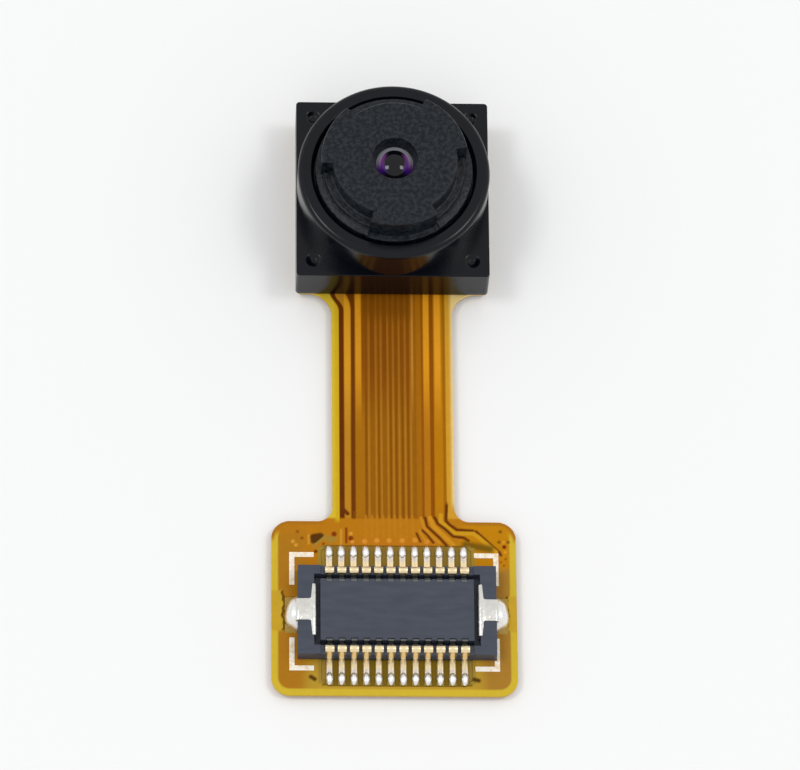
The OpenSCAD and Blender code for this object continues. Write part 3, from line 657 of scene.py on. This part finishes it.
def cut_sheet(x_lines, y_lines, distance, height, bottom):
    """Closed sheet: a grid cut along the line where distance is zero.

    Cells with a corner well outside are left out. The points on the border left slide down the
    distance's slope onto the line, and a wall and a flat bottom close the sheet.
    """
    x, y = (g.ravel() for g in np.meshgrid(x_lines, y_lines))
    cells = grid_faces(len(y_lines), len(x_lines))
    span = np.maximum(np.ptp(x[cells], 1), np.ptp(y[cells], 1))
    cells = cells[(distance(x, y)[cells] < 0.45 * np.minimum(span, 0.05)[:, None]).all(1)]
    used, cells = np.unique(cells, return_inverse=True)
    cells = cells.reshape(-1, 4)
    x, y = x[used], y[used]
    start, end = cells.ravel(), np.roll(cells, -1, 1).ravel()
    count = len(x)
    border = ~np.isin(start * count + end, end * count + start)
    start, end = start[border], end[border]
    for _ in range(3):
        bx, by, step = x[start], y[start], 1e-4
        here = distance(bx, by)
        slope_x = (distance(bx + step, by) - distance(bx - step, by)) / (2 * step)
        slope_y = (distance(bx, by + step) - distance(bx, by - step)) / (2 * step)
        size = np.maximum(slope_x**2 + slope_y**2, 0.25)
        x[start], y[start] = bx - here * slope_x / size, by - here * slope_y / size
    order = in_order(start, end)
    place = np.empty(count, int)
    place[order] = count + np.arange(len(order))
    walls = np.stack([end, start, place[start], place[end]], -1)
    top = np.stack([x, y, height(x, y)], -1)
    low = np.stack([x[order], y[order], np.full(len(order), bottom)], -1)
    base = (count + np.arange(len(order)))[::-1][None]
    return np.concatenate([top, low]), [cells, walls, base], order


# ---------------------------------------------------------------- colours and finishes


def tint(red, green, blue):
    """Linear colour of a display colour given in steps of 0 to 255."""
    shares = np.array([red, green, blue], float) / 255
    return np.where(shares <= 0.04045, shares / 12.92, ((shares + 0.055) / 1.055) ** 2.4)


def opaque(colour):
    return (*(float(part) for part in colour), 1.0)


class Value:
    """A socket that works in number expressions: each operator adds a Math node to its finish."""

    def __init__(self, finish, socket):
        self.finish = finish
        self.socket = socket

    def math(self, operation, *values):
        return self.finish.node("ShaderNodeMath", {"operation": operation}, dict(enumerate(values)))

    def __add__(self, other):
        return self.math("ADD", self, other)

    def __sub__(self, other):
        return self.math("SUBTRACT", self, other)

    def __rsub__(self, other):
        return self.math("SUBTRACT", other, self)

    def __mul__(self, other):
        return self.math("MULTIPLY", self, other)

    def __truediv__(self, other):
        return self.math("DIVIDE", self, other)

    def __pow__(self, other):
        return self.math("POWER", self, other)

    def __abs__(self):
        return self.math("ABSOLUTE", self)

    __radd__ = __add__
    __rmul__ = __mul__

    def step(self, low, high):
        """Smooth step from 0 at low to 1 at high."""
        settings = {"interpolation_type": "SMOOTHSTEP", "clamp": True}
        return self.finish.node("ShaderNodeMapRange", settings, {0: self, 1: low, 2: high})


class Finish:
    """A material: its shader's constant sockets, and one method that adds any other node."""

    def __init__(self, name, colour, roughness, **constants):
        self.material = bpy.data.materials.new(name)
        self.material.use_nodes = True
        self.tree = self.material.node_tree
        self.shader = self.tree.nodes["Principled BSDF"]
        self.feed(Base_Color=opaque(colour), Roughness=roughness, **constants)

    def feed(self, **sockets):
        """Sets or links the shader's sockets, written with underscores."""
        for name, value in sockets.items():
            self.join(self.shader.inputs[name.replace("_", " ")], value)
        return self

    def join(self, socket, value):
        if isinstance(value, Value):
            self.tree.links.new(value.socket, socket)
        else:
            socket.default_value = value

    def node(self, kind, settings, inputs, output=0):
        made = self.tree.nodes.new(kind)
        for setting, value in settings.items():
            setattr(made, setting, value)
        for key, value in inputs.items():
            self.join(made.inputs[key], value)
        return Value(self, made.outputs[output])

    def place(self, stretch=(1, 1, 1)):
        """Object coordinates in millimetres, stretched along each axis."""
        coords = self.node("ShaderNodeTexCoord", {}, {}, "Object")
        scale = tuple(part / MM for part in stretch)
        return self.node("ShaderNodeMapping", {}, {"Vector": coords, "Scale": scale})

    def split(self, vector):
        return [self.node("ShaderNodeSeparateXYZ", {}, {0: vector}, k) for k in range(3)]

    def noise(self, scale, detail=2.0, stretch=(1, 1, 1), rough=0.5):
        """Noise from 0 to 1, with scale in waves per millimetre."""
        inputs = {"Vector": self.place(stretch), "Scale": scale, "Detail": detail}
        return self.node("ShaderNodeTexNoise", {}, {**inputs, "Roughness": rough})

    def blend(self, share, first, second, kind="MIX"):
        settings = {"data_type": "RGBA", "blend_type": kind, "clamp_factor": True}
        return self.node("ShaderNodeMix", settings, {0: share, 6: first, 7: second}, 2)

    def field(self, name, output="Fac"):
        return self.node("ShaderNodeAttribute", {"attribute_name": name}, {}, output)

    def bump(self, height, depth, strength=1.0):
        """Normal of a height from 0 to 1 over a depth in millimetres."""
        inputs = {"Height": height, "Distance": depth * MM, "Strength": strength}
        return self.node("ShaderNodeBump", {}, inputs)


def moulded_black():
    """Black glass-filled plastic, smooth from the mould, with a trace of flow marks."""
    finish = Finish("moulded_black_plastic", (0.001, 0.002, 0.005), 0.26)
    finish.feed(Specular_IOR_Level=0.27)
    grain = finish.noise(9, 3)
    finish.feed(Roughness=0.16 + 0.1 * finish.noise(1.6, 3), Normal=finish.bump(grain, 0.002))
    return finish.material


def pebbled_charcoal():
    """Charcoal plastic with a fine spark-eroded grain on the face."""
    finish = Finish("pebbled_charcoal_plastic", (0.006, 0.01, 0.015), 0.4)
    finish.feed(Specular_IOR_Level=0.27)
    grain = finish.noise(7, 3, rough=0.65)
    speck = grain.step(0.38, 0.66)
    shade = finish.blend(speck, opaque((0.0, 0.002, 0.005)), opaque((0.016, 0.021, 0.027)))
    finish.feed(Base_Color=shade, Roughness=0.26 + 0.14 * grain, Normal=finish.bump(grain, 0.03))
    return finish.material


def coated_lens():
    """Glossy front lens: black pupil, a painted magenta reflection at the sides and a painted pale highlight round
    the upper half of the rim.
    """
    finish = Finish("coated_front_lens", (0.001, 0.001, 0.003), 0.06, Specular_IOR_Level=0.35)
    x, y, z = finish.split(finish.place())
    y = y - CAMERA_Y
    reach = (x**2.0 + y**2.0) ** 0.5
    # painted reflection: magenta on the lens beside the pupil, deeper violet towards the low side
    sides = (abs(x) / (reach + 0.001)).step(0.5, 0.95)
    painted_reflection_share = reach.step(0.3, 0.42) * sides
    painted_magenta_reflection = finish.blend((y / 0.5).step(-0.7, 0.3), opaque(tint(66, 18, 120)), opaque(tint(122, 62, 136)))
    glass = finish.blend(painted_reflection_share, opaque((0.001, 0.001, 0.003)), painted_magenta_reflection)
    # painted highlight: a pale ring round the upper half of the lens's rim
    rim = reach.step(0.44, 0.49) * (y / 0.5).step(-0.5, 0.45)
    return finish.feed(Base_Color=finish.blend(rim, glass, opaque(tint(150, 152, 158)))).material


def amber_circuit():
    """Amber film over copper: the colour of each point comes from the circuit's own pattern, which also carries a
    few marks of painted shade and shadow.
    """
    finish = Finish("amber_circuit_film", tint(180, 116, 24), 0.4, IOR=1.45)
    finish.feed(Specular_IOR_Level=0.06)
    mottle = finish.noise(5, 4, rough=0.65)
    fine = finish.noise(26, 2)
    shade = 0.86 + 0.18 * mottle + 0.1 * fine
    scaled = finish.node(
        "ShaderNodeVectorMath", {"operation": "SCALE"}, {0: finish.field("pattern", "Color"), "Scale": shade}
    )
    finish.feed(Base_Color=scaled, Roughness=0.3 + 0.25 * fine, Normal=finish.bump(fine, 0.004))
    return finish.material


def plain_amber(name, colour):
    """Amber film seen at an edge or from below."""
    finish = Finish(name, colour, 0.38)
    ends = (opaque(colour * 0.88), opaque(np.minimum(colour * 1.1, 1)))
    return finish.feed(Base_Color=finish.blend(finish.noise(3, 3), *ends)).material


def slate_plastic():
    """Slate liquid-crystal polymer of the socket, with faint flow lines along its length."""
    finish = Finish("slate_socket_plastic", tint(54, 60, 74), 0.42, IOR=1.5)
    flow = finish.noise(5, 3, (0.25, 1, 1))
    shade = finish.blend(flow, opaque(tint(44, 50, 64)), opaque(tint(66, 73, 88)))
    finish.feed(Base_Color=shade, Roughness=0.38 + 0.12 * flow, Normal=finish.bump(flow, 0.006))
    return finish.material


def metal(name, colour, roughness, grain=8.0, depth=0.004, stretch=(1, 1, 1), spread=0.12):
    """Metal whose gloss and tone wander a little with a noise."""
    finish = Finish(name, colour, roughness, Metallic=1.0)
    wander = finish.noise(grain, 3, stretch)
    ends = (opaque(np.asarray(colour) * 0.86), opaque(np.minimum(np.asarray(colour) * 1.08, 1)))
    finish.feed(
        Base_Color=finish.blend(wander, *ends),
        Roughness=roughness - spread / 2 + spread * wander,
        Normal=finish.bump(wander, depth),
    )
    return finish.material


def contact_metal():
    """Gold on the crests, tin-washed silver along the tails, and painted shade: dark grey on the inner legs and arms
    down in the slots.
    """
    finish = Finish("contact_gold", (0.98, 0.8, 0.5), 0.3, Metallic=1.0)
    _, y, z = finish.split(finish.place())
    out = abs(y - SOCKET_Y) - ROW_Y - 0.3 * z.step(CREST_Z - 0.12, CREST_Z - 0.28)
    wander = finish.noise(12, 3)
    crest = finish.blend(wander, opaque((0.95, 0.74, 0.42)), opaque((1.0, 0.86, 0.58)))
    tail = finish.blend(wander, opaque((0.7, 0.6, 0.5)), opaque((0.92, 0.84, 0.76)))
    # painted shade: dark grey in place of gold on the parts down in the slots
    painted_slot_shade = opaque((0.17, 0.175, 0.17))
    shade = finish.blend(out.step(0.12, 0.3), finish.blend(out.step(-0.33, -0.3), painted_slot_shade, crest), tail)
    finish.feed(Base_Color=shade, Roughness=0.26 + 0.12 * wander, Normal=finish.bump(wander, 0.004))
    return finish.material


def matte(name, colour, roughness=0.7, grain=10.0):
    """Plain matte finish whose tone wanders a little."""
    colour = np.asarray(colour, float)
    finish = Finish(name, colour, roughness)
    ends = (opaque(colour * 0.85), opaque(np.minimum(colour * 1.15, 1)))
    return finish.feed(Base_Color=finish.blend(finish.noise(grain, 3), *ends)).material


def clear(name, colour, roughness=0.03):
    """Clear glass or optical plastic."""
    finish = Finish(name, colour, roughness, IOR=1.5, Transmission_Weight=1.0)
    return finish.feed(Roughness=roughness + 0.02 * finish.noise(4, 2)).material


def printed_white():
    """White print, worn thin in places so that the amber shows through."""
    finish = Finish("printed_white_ink", tint(240, 228, 208), 0.6)
    worn = finish.noise(7, 4, rough=0.7).step(0.36, 0.6)
    shade = finish.blend(worn, opaque(tint(238, 214, 176)), opaque(tint(254, 248, 236)))
    return finish.feed(Base_Color=shade).material


# ---------------------------------------------------------------- circuit's pattern


class Pattern:
    """Colour and height of the circuit's top, painted in layers over the film's points."""

    def __init__(self, x, y, colour):
        self.x, self.y = x, y
        self.colour = np.tile(colour, (len(x), 1))
        self.height = np.zeros(len(x))

    def paint(self, share, colour, height=None):
        self.colour += (colour - self.colour) * share[:, None]
        if height is not None:
            self.height += (height - self.height) * share

    def band(self, left, right, colour, height=None, low=HEAD_TOP + 0.12, high=99.0, soft=0.035):
        """Upright band between two places across the circuit."""
        share = strip(self.x, left, right, soft) * strip(self.y, low, high, 0.1)
        self.paint(share, colour, height)

    def trace(self, points, width, colour, height=None, soft=0.035, share=1.0):
        """Line of a width along points, from the distance to its nearest stretch."""
        best = np.full(len(self.x), 9.0)
        for (ax, ay), (bx, by) in zip(points, points[1:]):
            dx, dy = bx - ax, by - ay
            t = np.clip(((self.x - ax) * dx + (self.y - ay) * dy) / (dx * dx + dy * dy), 0, 1)
            best = np.minimum(best, np.hypot(self.x - ax - t * dx, self.y - ay - t * dy))
        self.paint(share * (1 - rise(best, width / 2, soft)), colour, height)

    def spots(self, places, radius, colour, share=1.0, soft=0.05):
        for x, y in places:
            away = np.hypot(self.x - x, self.y - y)
            self.paint(share * (1 - rise(away, radius, soft)), colour)


BORDER = tint(214, 184, 50)
GOLD_FILM = tint(206, 146, 26)
AMBER = tint(184, 118, 16)
DIM_AMBER = tint(164, 104, 12)
BROWN = tint(126, 68, 2)
DARK = tint(104, 50, 2)
RUST = tint(120, 38, 6)
KHAKI = tint(158, 130, 52)
OLIVE = tint(120, 92, 16)
TRACK_UP = 0.0
GAP_DOWN = -0.014


def circuit_pattern(x, y):
    """Paints the tracks of the neck, their spread to the pads, the planes beside the socket, and a little painted
    shade and shadow.
    """
    p = Pattern(x + 0.3 * rise(y, 3.7, 0.7) * rise(-x, 1.5, 0.7), y, AMBER)
    # planes of the head, greener towards the low edge
    p.paint(rise(y, -8.6, 3.0) * 0 + (1 - rise(y, -8.9, 1.6)), tint(184, 146, 46))
    p.paint(strip(x, -4.2, -2.9, 0.5) * (1 - rise(y, -4.6, 1.0)), tint(172, 116, 26))
    p.paint(strip(x, 2.9, 4.2, 0.5) * (1 - rise(y, -5.0, 1.2)), tint(168, 122, 44))
    p.paint(strip(x, 2.2, 4.2, 0.4) * strip(y, -5.9, -4.3, 0.3), tint(192, 128, 8))

    # neck: borders, wide tracks and the fine field, duller in its low half
    upper = rise(y, 0.2, 3.0)
    lower = 1 - upper
    p.band(-1.78, 1.78, tint(150, 92, 6), GAP_DOWN)
    p.paint(strip(x, -0.95, 0.66) * rise(y, HEAD_TOP, 0.2) * upper, tint(130, 70, 2))
    p.band(-9, -1.77, BORDER, GAP_DOWN)
    p.paint(strip(x, -9, -1.77) * rise(y, HEAD_TOP, 0.2) * rise(x, -1.9, 0.16), tint(206, 168, 26))
    p.band(1.75, 9, tint(206, 152, 44), GAP_DOWN)
    p.paint(rise(x, 1.94, 0.16) * rise(y, HEAD_TOP + 0.6, 0.4), tint(240, 212, 140))
    # a real dip at the copper's edge by the left border, darkened further as painted shade of the film's slope there
    p.band(-1.76, -1.6, tint(98, 44, 0), GAP_DOWN)
    p.band(-1.59, -1.39, tint(186, 128, 30), TRACK_UP)
    p.paint(strip(x, -1.59, -1.34) * upper * rise(y, HEAD_TOP, 0.3), tint(214, 150, 32))
    p.band(-1.37, -1.24, tint(108, 54, 2), GAP_DOWN)
    p.band(-1.22, -0.92, tint(166, 106, 12), TRACK_UP)
    p.paint(strip(x, -1.22, -1.02) * upper * rise(y, HEAD_TOP, 0.3), tint(212, 144, 28))
    p.paint(strip(x, -1.02, -0.92) * upper * rise(y, HEAD_TOP, 0.3), tint(138, 76, 2))
    for middle in (-0.78, -0.54, -0.37, -0.15, 0.03, 0.22, 0.42, 0.61):
        p.band(middle - 0.035, middle + 0.035, tint(172, 114, 26), TRACK_UP)
        p.paint(strip(x, middle - 0.03, middle + 0.03) * upper * 0.55, tint(140, 80, 10))
    for middle in (-0.87, -0.46, -0.06, 0.12, 0.33, 0.51):
        p.band(middle - 0.03, middle + 0.03, tint(134, 76, 0), GAP_DOWN)
    p.paint(strip(x, 0.63, 0.7) * upper, tint(196, 130, 44))
    p.band(0.78, 0.95, tint(164, 102, 10), TRACK_UP)
    p.band(0.96, 1.03, tint(146, 80, 0), GAP_DOWN)
    p.band(1.03, 1.24, tint(180, 114, 18), TRACK_UP)
    p.paint(strip(x, 1.03, 1.22) * upper * rise(y, HEAD_TOP, 0.3), tint(222, 150, 28))
    p.band(1.24, 1.36, tint(142, 76, 0), GAP_DOWN)
    p.band(1.37, 1.66, tint(184, 120, 8), TRACK_UP)
    p.paint(strip(x, 1.4, 1.6) * upper * rise(y, HEAD_TOP, 0.3), tint(226, 152, 34))
    p.band(1.66, 1.75, tint(160, 100, 0), GAP_DOWN)
    p.paint(strip(x, -1.0, 0.63, 0.2) * rise(y, 3.1, 0.7) * 0.7, tint(120, 70, 2))

    # borders of the head
    edge = circuit_distance(x, y)
    round_head = (y < HEAD_TOP - 0.02) & (edge > -0.24)
    sides = rise(edge, -0.215, 0.06) * round_head * (1 - rise(y, -4.7, 0.3))
    p.paint(sides, tint(208, 178, 50), GAP_DOWN)
    p.paint(rise(edge, -0.1, 0.1) * round_head * rise(y, -4.9, 0.3), tint(170, 112, 24), GAP_DOWN)

    # tracks spreading to the upper row
    line_top = HEAD_TOP + 0.2
    for middle in (-0.9, -0.7, -0.53, -0.34, -0.15, 0.04, 0.23, 0.43, 0.62):
        p.trace([(middle, line_top), (middle, -4.8)], 0.09, tint(190, 122, 26), TRACK_UP, share=0.7)
    p.paint(strip(x, -1.5, 1.3, 0.2) * strip(y, -5.12, -4.86, 0.08) * 0.8, tint(188, 114, 20))
    p.spots([(-0.95, -4.95), (-0.55, -4.92), (-0.15, -4.92), (0.28, -4.92), (0.7, -4.9), (1.08, -4.95)], 0.085, tint(214, 142, 44))
    p.trace([(1.75, -3.6), (1.72, -4.2), (1.85, -4.35), (2.08, -4.52), (2.6, -4.55)], 0.1, DARK, GAP_DOWN)
    p.trace([(2.7, -4.57), (3.45, -5.3), (3.5, -5.4)], 0.09, DARK, GAP_DOWN)
    p.trace([(1.55, -4.0), (1.55, -4.25), (2.0, -4.65), (2.6, -4.65), (2.75, -4.75), (3.35, -5.3)], 0.14, tint(204, 150, 26), TRACK_UP)
    p.trace([(1.36, -4.1), (1.45, -4.3), (1.7, -4.5), (1.95, -4.75), (2.3, -4.8), (2.45, -4.9)], 0.1, DARK, GAP_DOWN)
    p.trace([(2.35, -5.05), (3.15, -5.2)], 0.26, tint(122, 88, 10), soft=0.2)
    p.trace([(1.2, -4.1), (1.3, -4.4), (1.5, -4.6), (1.7, -4.8), (1.95, -5.05)], 0.15, tint(204, 140, 28), TRACK_UP)
    p.trace([(1.04, -4.1), (1.1, -4.4), (1.3, -4.6), (1.5, -4.8), (1.75, -5.1)], 0.09, DARK, GAP_DOWN)
    p.trace([(0.9, -4.1), (1.0, -4.45), (1.15, -4.65), (1.5, -4.98)], 0.09, tint(200, 134, 30), TRACK_UP)
    p.trace([(0.95, -4.55), (1.1, -4.7), (1.3, -4.98)], 0.08, DARK, GAP_DOWN)
    p.trace([(0.85, -4.55), (1.05, -4.95)], 0.07, tint(200, 134, 30), TRACK_UP)
    p.trace([(0.75, -4.65), (0.88, -4.95)], 0.07, DARK, GAP_DOWN)

    # plane at the upper left, with its dark patch and stains
    p.trace([(-1.29, -3.9), (-1.29, -4.12)], 0.08, BROWN)
    p.trace([(-1.7, -3.5), (-1.66, -3.8), (-1.5, -3.97)], 0.13, DARK, GAP_DOWN)
    p.trace([(-2.62, -4.82), (-2.4, -4.78)], 0.24, tint(88, 52, 6), soft=0.08)
    p.trace([(-2.62, -4.95), (-2.5, -4.92)], 0.2, tint(88, 52, 6), soft=0.08)
    p.trace([(-2.65, -5.15), (-2.2, -4.75)], 0.07, KHAKI)
    p.trace([(-2.15, -4.9), (-1.95, -4.88)], 0.2, KHAKI, soft=0.12, share=0.8)
    p.trace([(-1.55, -4.5), (-1.55, -5.0)], 0.08, RUST, share=0.8)
    p.trace([(-1.72, -4.55), (-1.72, -5.05)], 0.07, tint(206, 150, 50), share=0.8)
    p.trace([(-2.78, -4.75), (-2.78, -5.05)], 0.07, tint(206, 150, 50), share=0.8)
    p.spots([(-2.3, -5.05), (-3.15, -4.62), (-3.0, -4.85)], 0.05, RUST, 0.7)
    p.spots([(-1.95, -4.7), (-1.4, -4.85)], 0.085, RUST, 0.9)
    p.spots([(-1.4, -4.68), (-1.35, -4.97), (-3.3, -4.97), (-3.2, -5.1)], 0.06, tint(216, 150, 50))

    # stains of the right plane
    p.spots([(3.62, -5.12)], 0.07, RUST)
    p.spots([(3.45, -4.95), (3.75, -4.95), (3.5, -4.58)], 0.06, tint(108, 76, 8), 0.8)
    p.spots([(3.6, -4.95), (3.65, -5.3)], 0.05, tint(220, 150, 40))
    p.spots([(3.52, -5.42), (3.66, -5.55), (3.5, -5.66), (3.6, -5.78)], 0.035, RUST, 0.8)

    # bare film beside the hold-downs, behind dark ragged lines
    for side, line, top_y in ((-1, 3.63, -6.7), (1, 3.7, -6.85)):
        beside = strip(side * x, line, 9) * strip(y, -8.12, top_y, 0.12)
        p.paint(beside, tint(198, 160, 44), GAP_DOWN)
        ragged = line + 0.03 * np.sin(9 * y) + 0.02 * np.sin(23 * y)
        p.paint(strip(side * x - ragged, -0.06, 0.02) * strip(y, -8.1, top_y, 0.1), tint(96, 66, 6))

    # windows of the rows, with darker film round them
    for above in (True, False):
        row = SOCKET_Y + (ROW_Y if above else -ROW_Y)
        out = (y - row) if above else (row - y)
        across = np.abs(x - SOCKET_X)
        within = strip(across, -1, 2.44) * strip(out, 0.02, 1.09)
        p.paint(within, tint(138, 112, 44) if above else tint(120, 96, 22))
        p.paint(strip(across, 2.3, 2.56, 0.05) * strip(out, 0.1, 1.02), KHAKI)
    p.spots([(-2.55, -5.32)], 0.06, DARK)
    # painted shadow: dark film at the socket's two lower corners, by the end blocks
    p.trace([(-2.72, -9.72), (-2.6, -9.8)], 0.14, tint(84, 58, 8), soft=0.08)
    p.trace([(2.58, -9.78), (2.72, -9.82)], 0.14, tint(84, 58, 8), soft=0.08)
    return p


def top_height(x, y):
    """Height of the film's top: relief over the tracks, and windows down to the base film."""
    height = CIRCUIT_TOP + circuit_pattern(x, y).height
    open_here = np.zeros(len(x), bool)
    across = np.abs(x - SOCKET_X)
    for side in (1, -1):
        out = side * (y - SOCKET_Y) - ROW_Y
        chamfer = across + out < 2.44 + 1.09 - 0.2
        open_here |= (across < 2.44) & (out > 0.02) & (out < 1.09) & chamfer
    anchor = (across > HOUSING_HALF_X - 0.03) & (across < HOUSING_HALF_X + 0.42)
    open_here |= anchor & (np.abs(y - SOCKET_Y) < 0.63)
    return np.where(open_here, COPPER_BOTTOM, height)


# ---------------------------------------------------------------- pieces

nodes = frame["nodes"]


def dress(name, finish, slot=None):
    """Gives a solid that stays in view its finish."""
    mesh = nodes[name].data
    mesh.materials.clear()
    mesh.materials.append(finish)


black = moulded_black()
piece("holder", [holder_shell()], black, "holder_plastic", "lens_holder", sharp=40)
piece("barrel", [barrel_shell()], pebbled_charcoal(), "barrel_plastic", "lens_barrel", sharp=40)
piece("lens", [lens_shell()], coated_lens(), "lens_plastic", "front_lens", sharp=40)

gold = contact_metal()
tin = metal("bright_tin", (0.84, 0.83, 0.78), 0.3, 5, 0.03)
drop = metal("bright_solder", (0.97, 0.95, 0.92), 0.36, 5, 0.02, spread=0.16)
upper_row, lower_row = row_of(contact_shell(), True), row_of(contact_shell(), False)
piece("upper_row", [upper_row], gold, "gold_plate", "upper_contacts", sharp=50)
piece("lower_row", [lower_row], gold, "gold_plate", "lower_contacts", sharp=50)
strap = to_right_end(hold_down_shell())
piece("right_strap", [at_end(strap, True)], tin, "tin_plate", "right_hold_down", sharp=50)
piece("left_strap", [at_end(strap, False)], tin, "tin_plate", "left_hold_down", sharp=50)

tail_drop = moved(dome(0.13, 0.24, 0.15, lumps=0.03), (0, TAIL_L - 0.02, COPPER_TOP))
drops = [row_of(tail_drop, True), row_of(tail_drop, False)]
piece("tail_solder", drops, drop, "solder", "contact_solder")
strap_drop = moved(dome(0.37, 0.6, 0.5, 16, 48, 0.05), (HOUSING_HALF_X + 0.05, 0, COPPER_TOP))
drops = [at_end(strap_drop, True), at_end(strap_drop, False)]
piece("strap_solder", drops, drop, "solder", "hold_down_solder")

x_lines = np.concatenate(
    [np.linspace(-4, -2, 68)[:-1], np.linspace(-2, 2, 161)[:-1], np.linspace(2, 4, 68)]
)
y_lines = np.concatenate(
    [
        np.linspace(HEAD_BOTTOM, HEAD_TOP, 205)[:-1],
        np.linspace(HEAD_TOP, HEAD_TOP + 0.51, 18)[:-1],
        np.linspace(HEAD_TOP + 0.51, 3.17, 74)[:-1],
        np.linspace(3.17, CAMERA_Y - PAD_HALF, 22)[:-1],
        np.linspace(CAMERA_Y - PAD_HALF, CAMERA_Y + PAD_HALF, 22),
    ]
)
points, faces, border = cut_sheet(
    x_lines, y_lines, circuit_distance, top_height, bottom_high[2]
)
colours = circuit_pattern(points[:, 0], points[:, 1]).colour
piece(
    "circuit",
    [(points, faces)],
    amber_circuit(),
    "cover_film",
    "base_film",
    "copper_tracks",
    "top_cover_film",
    sharp=35,
    fields={"pattern": colours},
)

steel = metal("brushed_steel_plate", (0.62, 0.62, 0.6), 0.34, 4, 0.004, (6, 0.3, 1))
camera_plate = slab(plate_high[0], plate_high[0], 0.12, 0, plate_high[2], 0.02, CAMERA_Y)
piece("camera_plate", [camera_plate], steel, "steel_plate", "camera_stiffener", sharp=40)
head_plate = slab(
    head_plate_high[0], (head_plate_high[1] - head_plate_low[1]) / 2, 0.35, 0, plate_high[2], 0.02, HEAD_Y
)
piece("head_plate", [head_plate], steel, "steel_plate", "connector_stiffener", sharp=40)

housing = nodes["connector_housing"]
weld = housing.modifiers.new("weld", "WELD")
weld.merge_threshold = 1e-6
flat = housing.modifiers.new("flat", "DECIMATE")
flat.decimate_type = "DISSOLVE"
flat.angle_limit = math.radians(1)
edges = housing.modifiers.new("edges", "BEVEL")
edges.width = 0.014 * MM
edges.segments = 2
edges.limit_method = "ANGLE"
edges.angle_limit = math.radians(35)
edges.use_clamp_overlap = True

dress("connector_housing", slate_plastic())
dress("stiffener_adhesive", matte("cured_adhesive", tint(196, 176, 132)))
dress("bottom_cover_film", plain_amber("amber_bottom_film", tint(196, 134, 26)))
dress("solder_pads", metal("pad_gold", (0.42, 0.28, 0.07), 0.5))
dress("sensor_pads", metal("finger_gold", (0.9, 0.72, 0.36), 0.35))
dress("corner_marks", printed_white())
dress("holder_adhesive", matte("black_adhesive", (0.02, 0.02, 0.02)))
dress("infrared_filter", clear("filter_glass", (0.75, 0.9, 0.92)))
glass = clear("optical_plastic", (0.95, 0.97, 0.98))
dress("middle_lens", glass)
dress("rear_lens", glass)
film = matte("black_shield_film", (0.008, 0.008, 0.008))
dress("front_light_shield", film)
dress("rear_light_shield", film)
dress("lens_retainer", black)
dress("image_sensor", matte("dark_silicon", (0.1, 0.12, 0.11), 0.2))
dress("die_adhesive", matte("die_adhesive", tint(196, 176, 132)))
dress("bond_wires", metal("gold_wire", (0.95, 0.75, 0.3), 0.2))
dress("ceramic_capacitors", matte("capacitor_ceramic", tint(168, 140, 104)))

# ---------------------------------------------------------------- floor, light and camera


def table():
    """Pale matte table under the part."""
    finish = Finish("pale_table", (0.93, 0.935, 0.935), 0.9, Specular_IOR_Level=0.1)
    patch = finish.noise(0.01, 1)
    ends = (opaque((0.925, 0.93, 0.93)), opaque((0.935, 0.94, 0.94)))
    return finish.feed(Base_Color=finish.blend(patch, *ends)).material


side = 1.2
floor_mesh = bpy.data.meshes.new("floor")
square = [(-side, -side, 0), (side, -side, 0), (side, side, 0), (-side, side, 0)]
floor_mesh.from_pydata(square, [], [(0, 1, 2, 3)])
floor_mesh.materials.append(table())
floor = bpy.data.objects.new("floor", floor_mesh)
bpy.context.scene.collection.objects.link(floor)

WORLD_LEVEL = 0.79
world = bpy.data.worlds.new("white_room")
bpy.context.scene.world = world
world.use_nodes = True
world.node_tree.nodes["Background"].inputs["Color"].default_value = (1, 1, 1, 1)
world.node_tree.nodes["Background"].inputs["Strength"].default_value = WORLD_LEVEL


def lamp(name, share, azimuth, elevation, distance, size):
    """Square soft lamp that gives a level white surface this share of full light."""
    turn, lift = math.radians(azimuth), math.radians(elevation)
    away = np.array(
        [math.sin(turn) * math.cos(lift), -math.cos(turn) * math.cos(lift), math.sin(lift)]
    )
    light = bpy.data.lights.new(name, "AREA")
    light.size = size
    light.energy = share * math.pi**2 * distance**2 / math.sin(lift)
    made = bpy.data.objects.new(name, light)
    back = away
    right_way = unit(np.cross((0, 0, 1), back))
    up_way = np.cross(back, right_way)
    made.matrix_world = Matrix(
        [(*row, at) for row, at in zip(np.stack([right_way, up_way, back], 1), away * distance)]
        + [(0, 0, 0, 1)]
    )
    bpy.context.scene.collection.objects.link(made)


lamp("left_lamp", 0.125, -94, 60, 0.5, 0.12)
lamp("right_lamp", 0.115, 94, 60, 0.5, 0.12)

LOOK_AT = np.array([0.269, 0.806, 0.0])
elevation, azimuth, roll = (math.radians(a) for a in (65.769, -5.5, 5.497))
back = np.array(
    [
        math.sin(azimuth) * math.cos(elevation),
        -math.cos(azimuth) * math.cos(elevation),
        math.sin(elevation),
    ]
)
level = np.array([math.cos(azimuth), math.sin(azimuth), 0])
upright = np.cross(back, level)
across = math.cos(roll) * level + math.sin(roll) * upright
upwards = math.cos(roll) * upright - math.sin(roll) * level
place = (LOOK_AT + back * 214.958) * MM
view = bpy.data.cameras.new("camera")
view.sensor_fit = "HORIZONTAL"
view.sensor_width = 36
view.lens = 292.05
view.clip_start = 0.01
view.clip_end = 10
camera = bpy.data.objects.new("camera", view)
camera.matrix_world = Matrix(
    [(*row, at) for row, at in zip(np.stack([across, upwards, back], 1), place)] + [(0, 0, 0, 1)]
)
bpy.context.scene.collection.objects.link(camera)
bpy.context.scene.camera = camera
bpy.context.scene.view_settings.view_transform = "Standard"
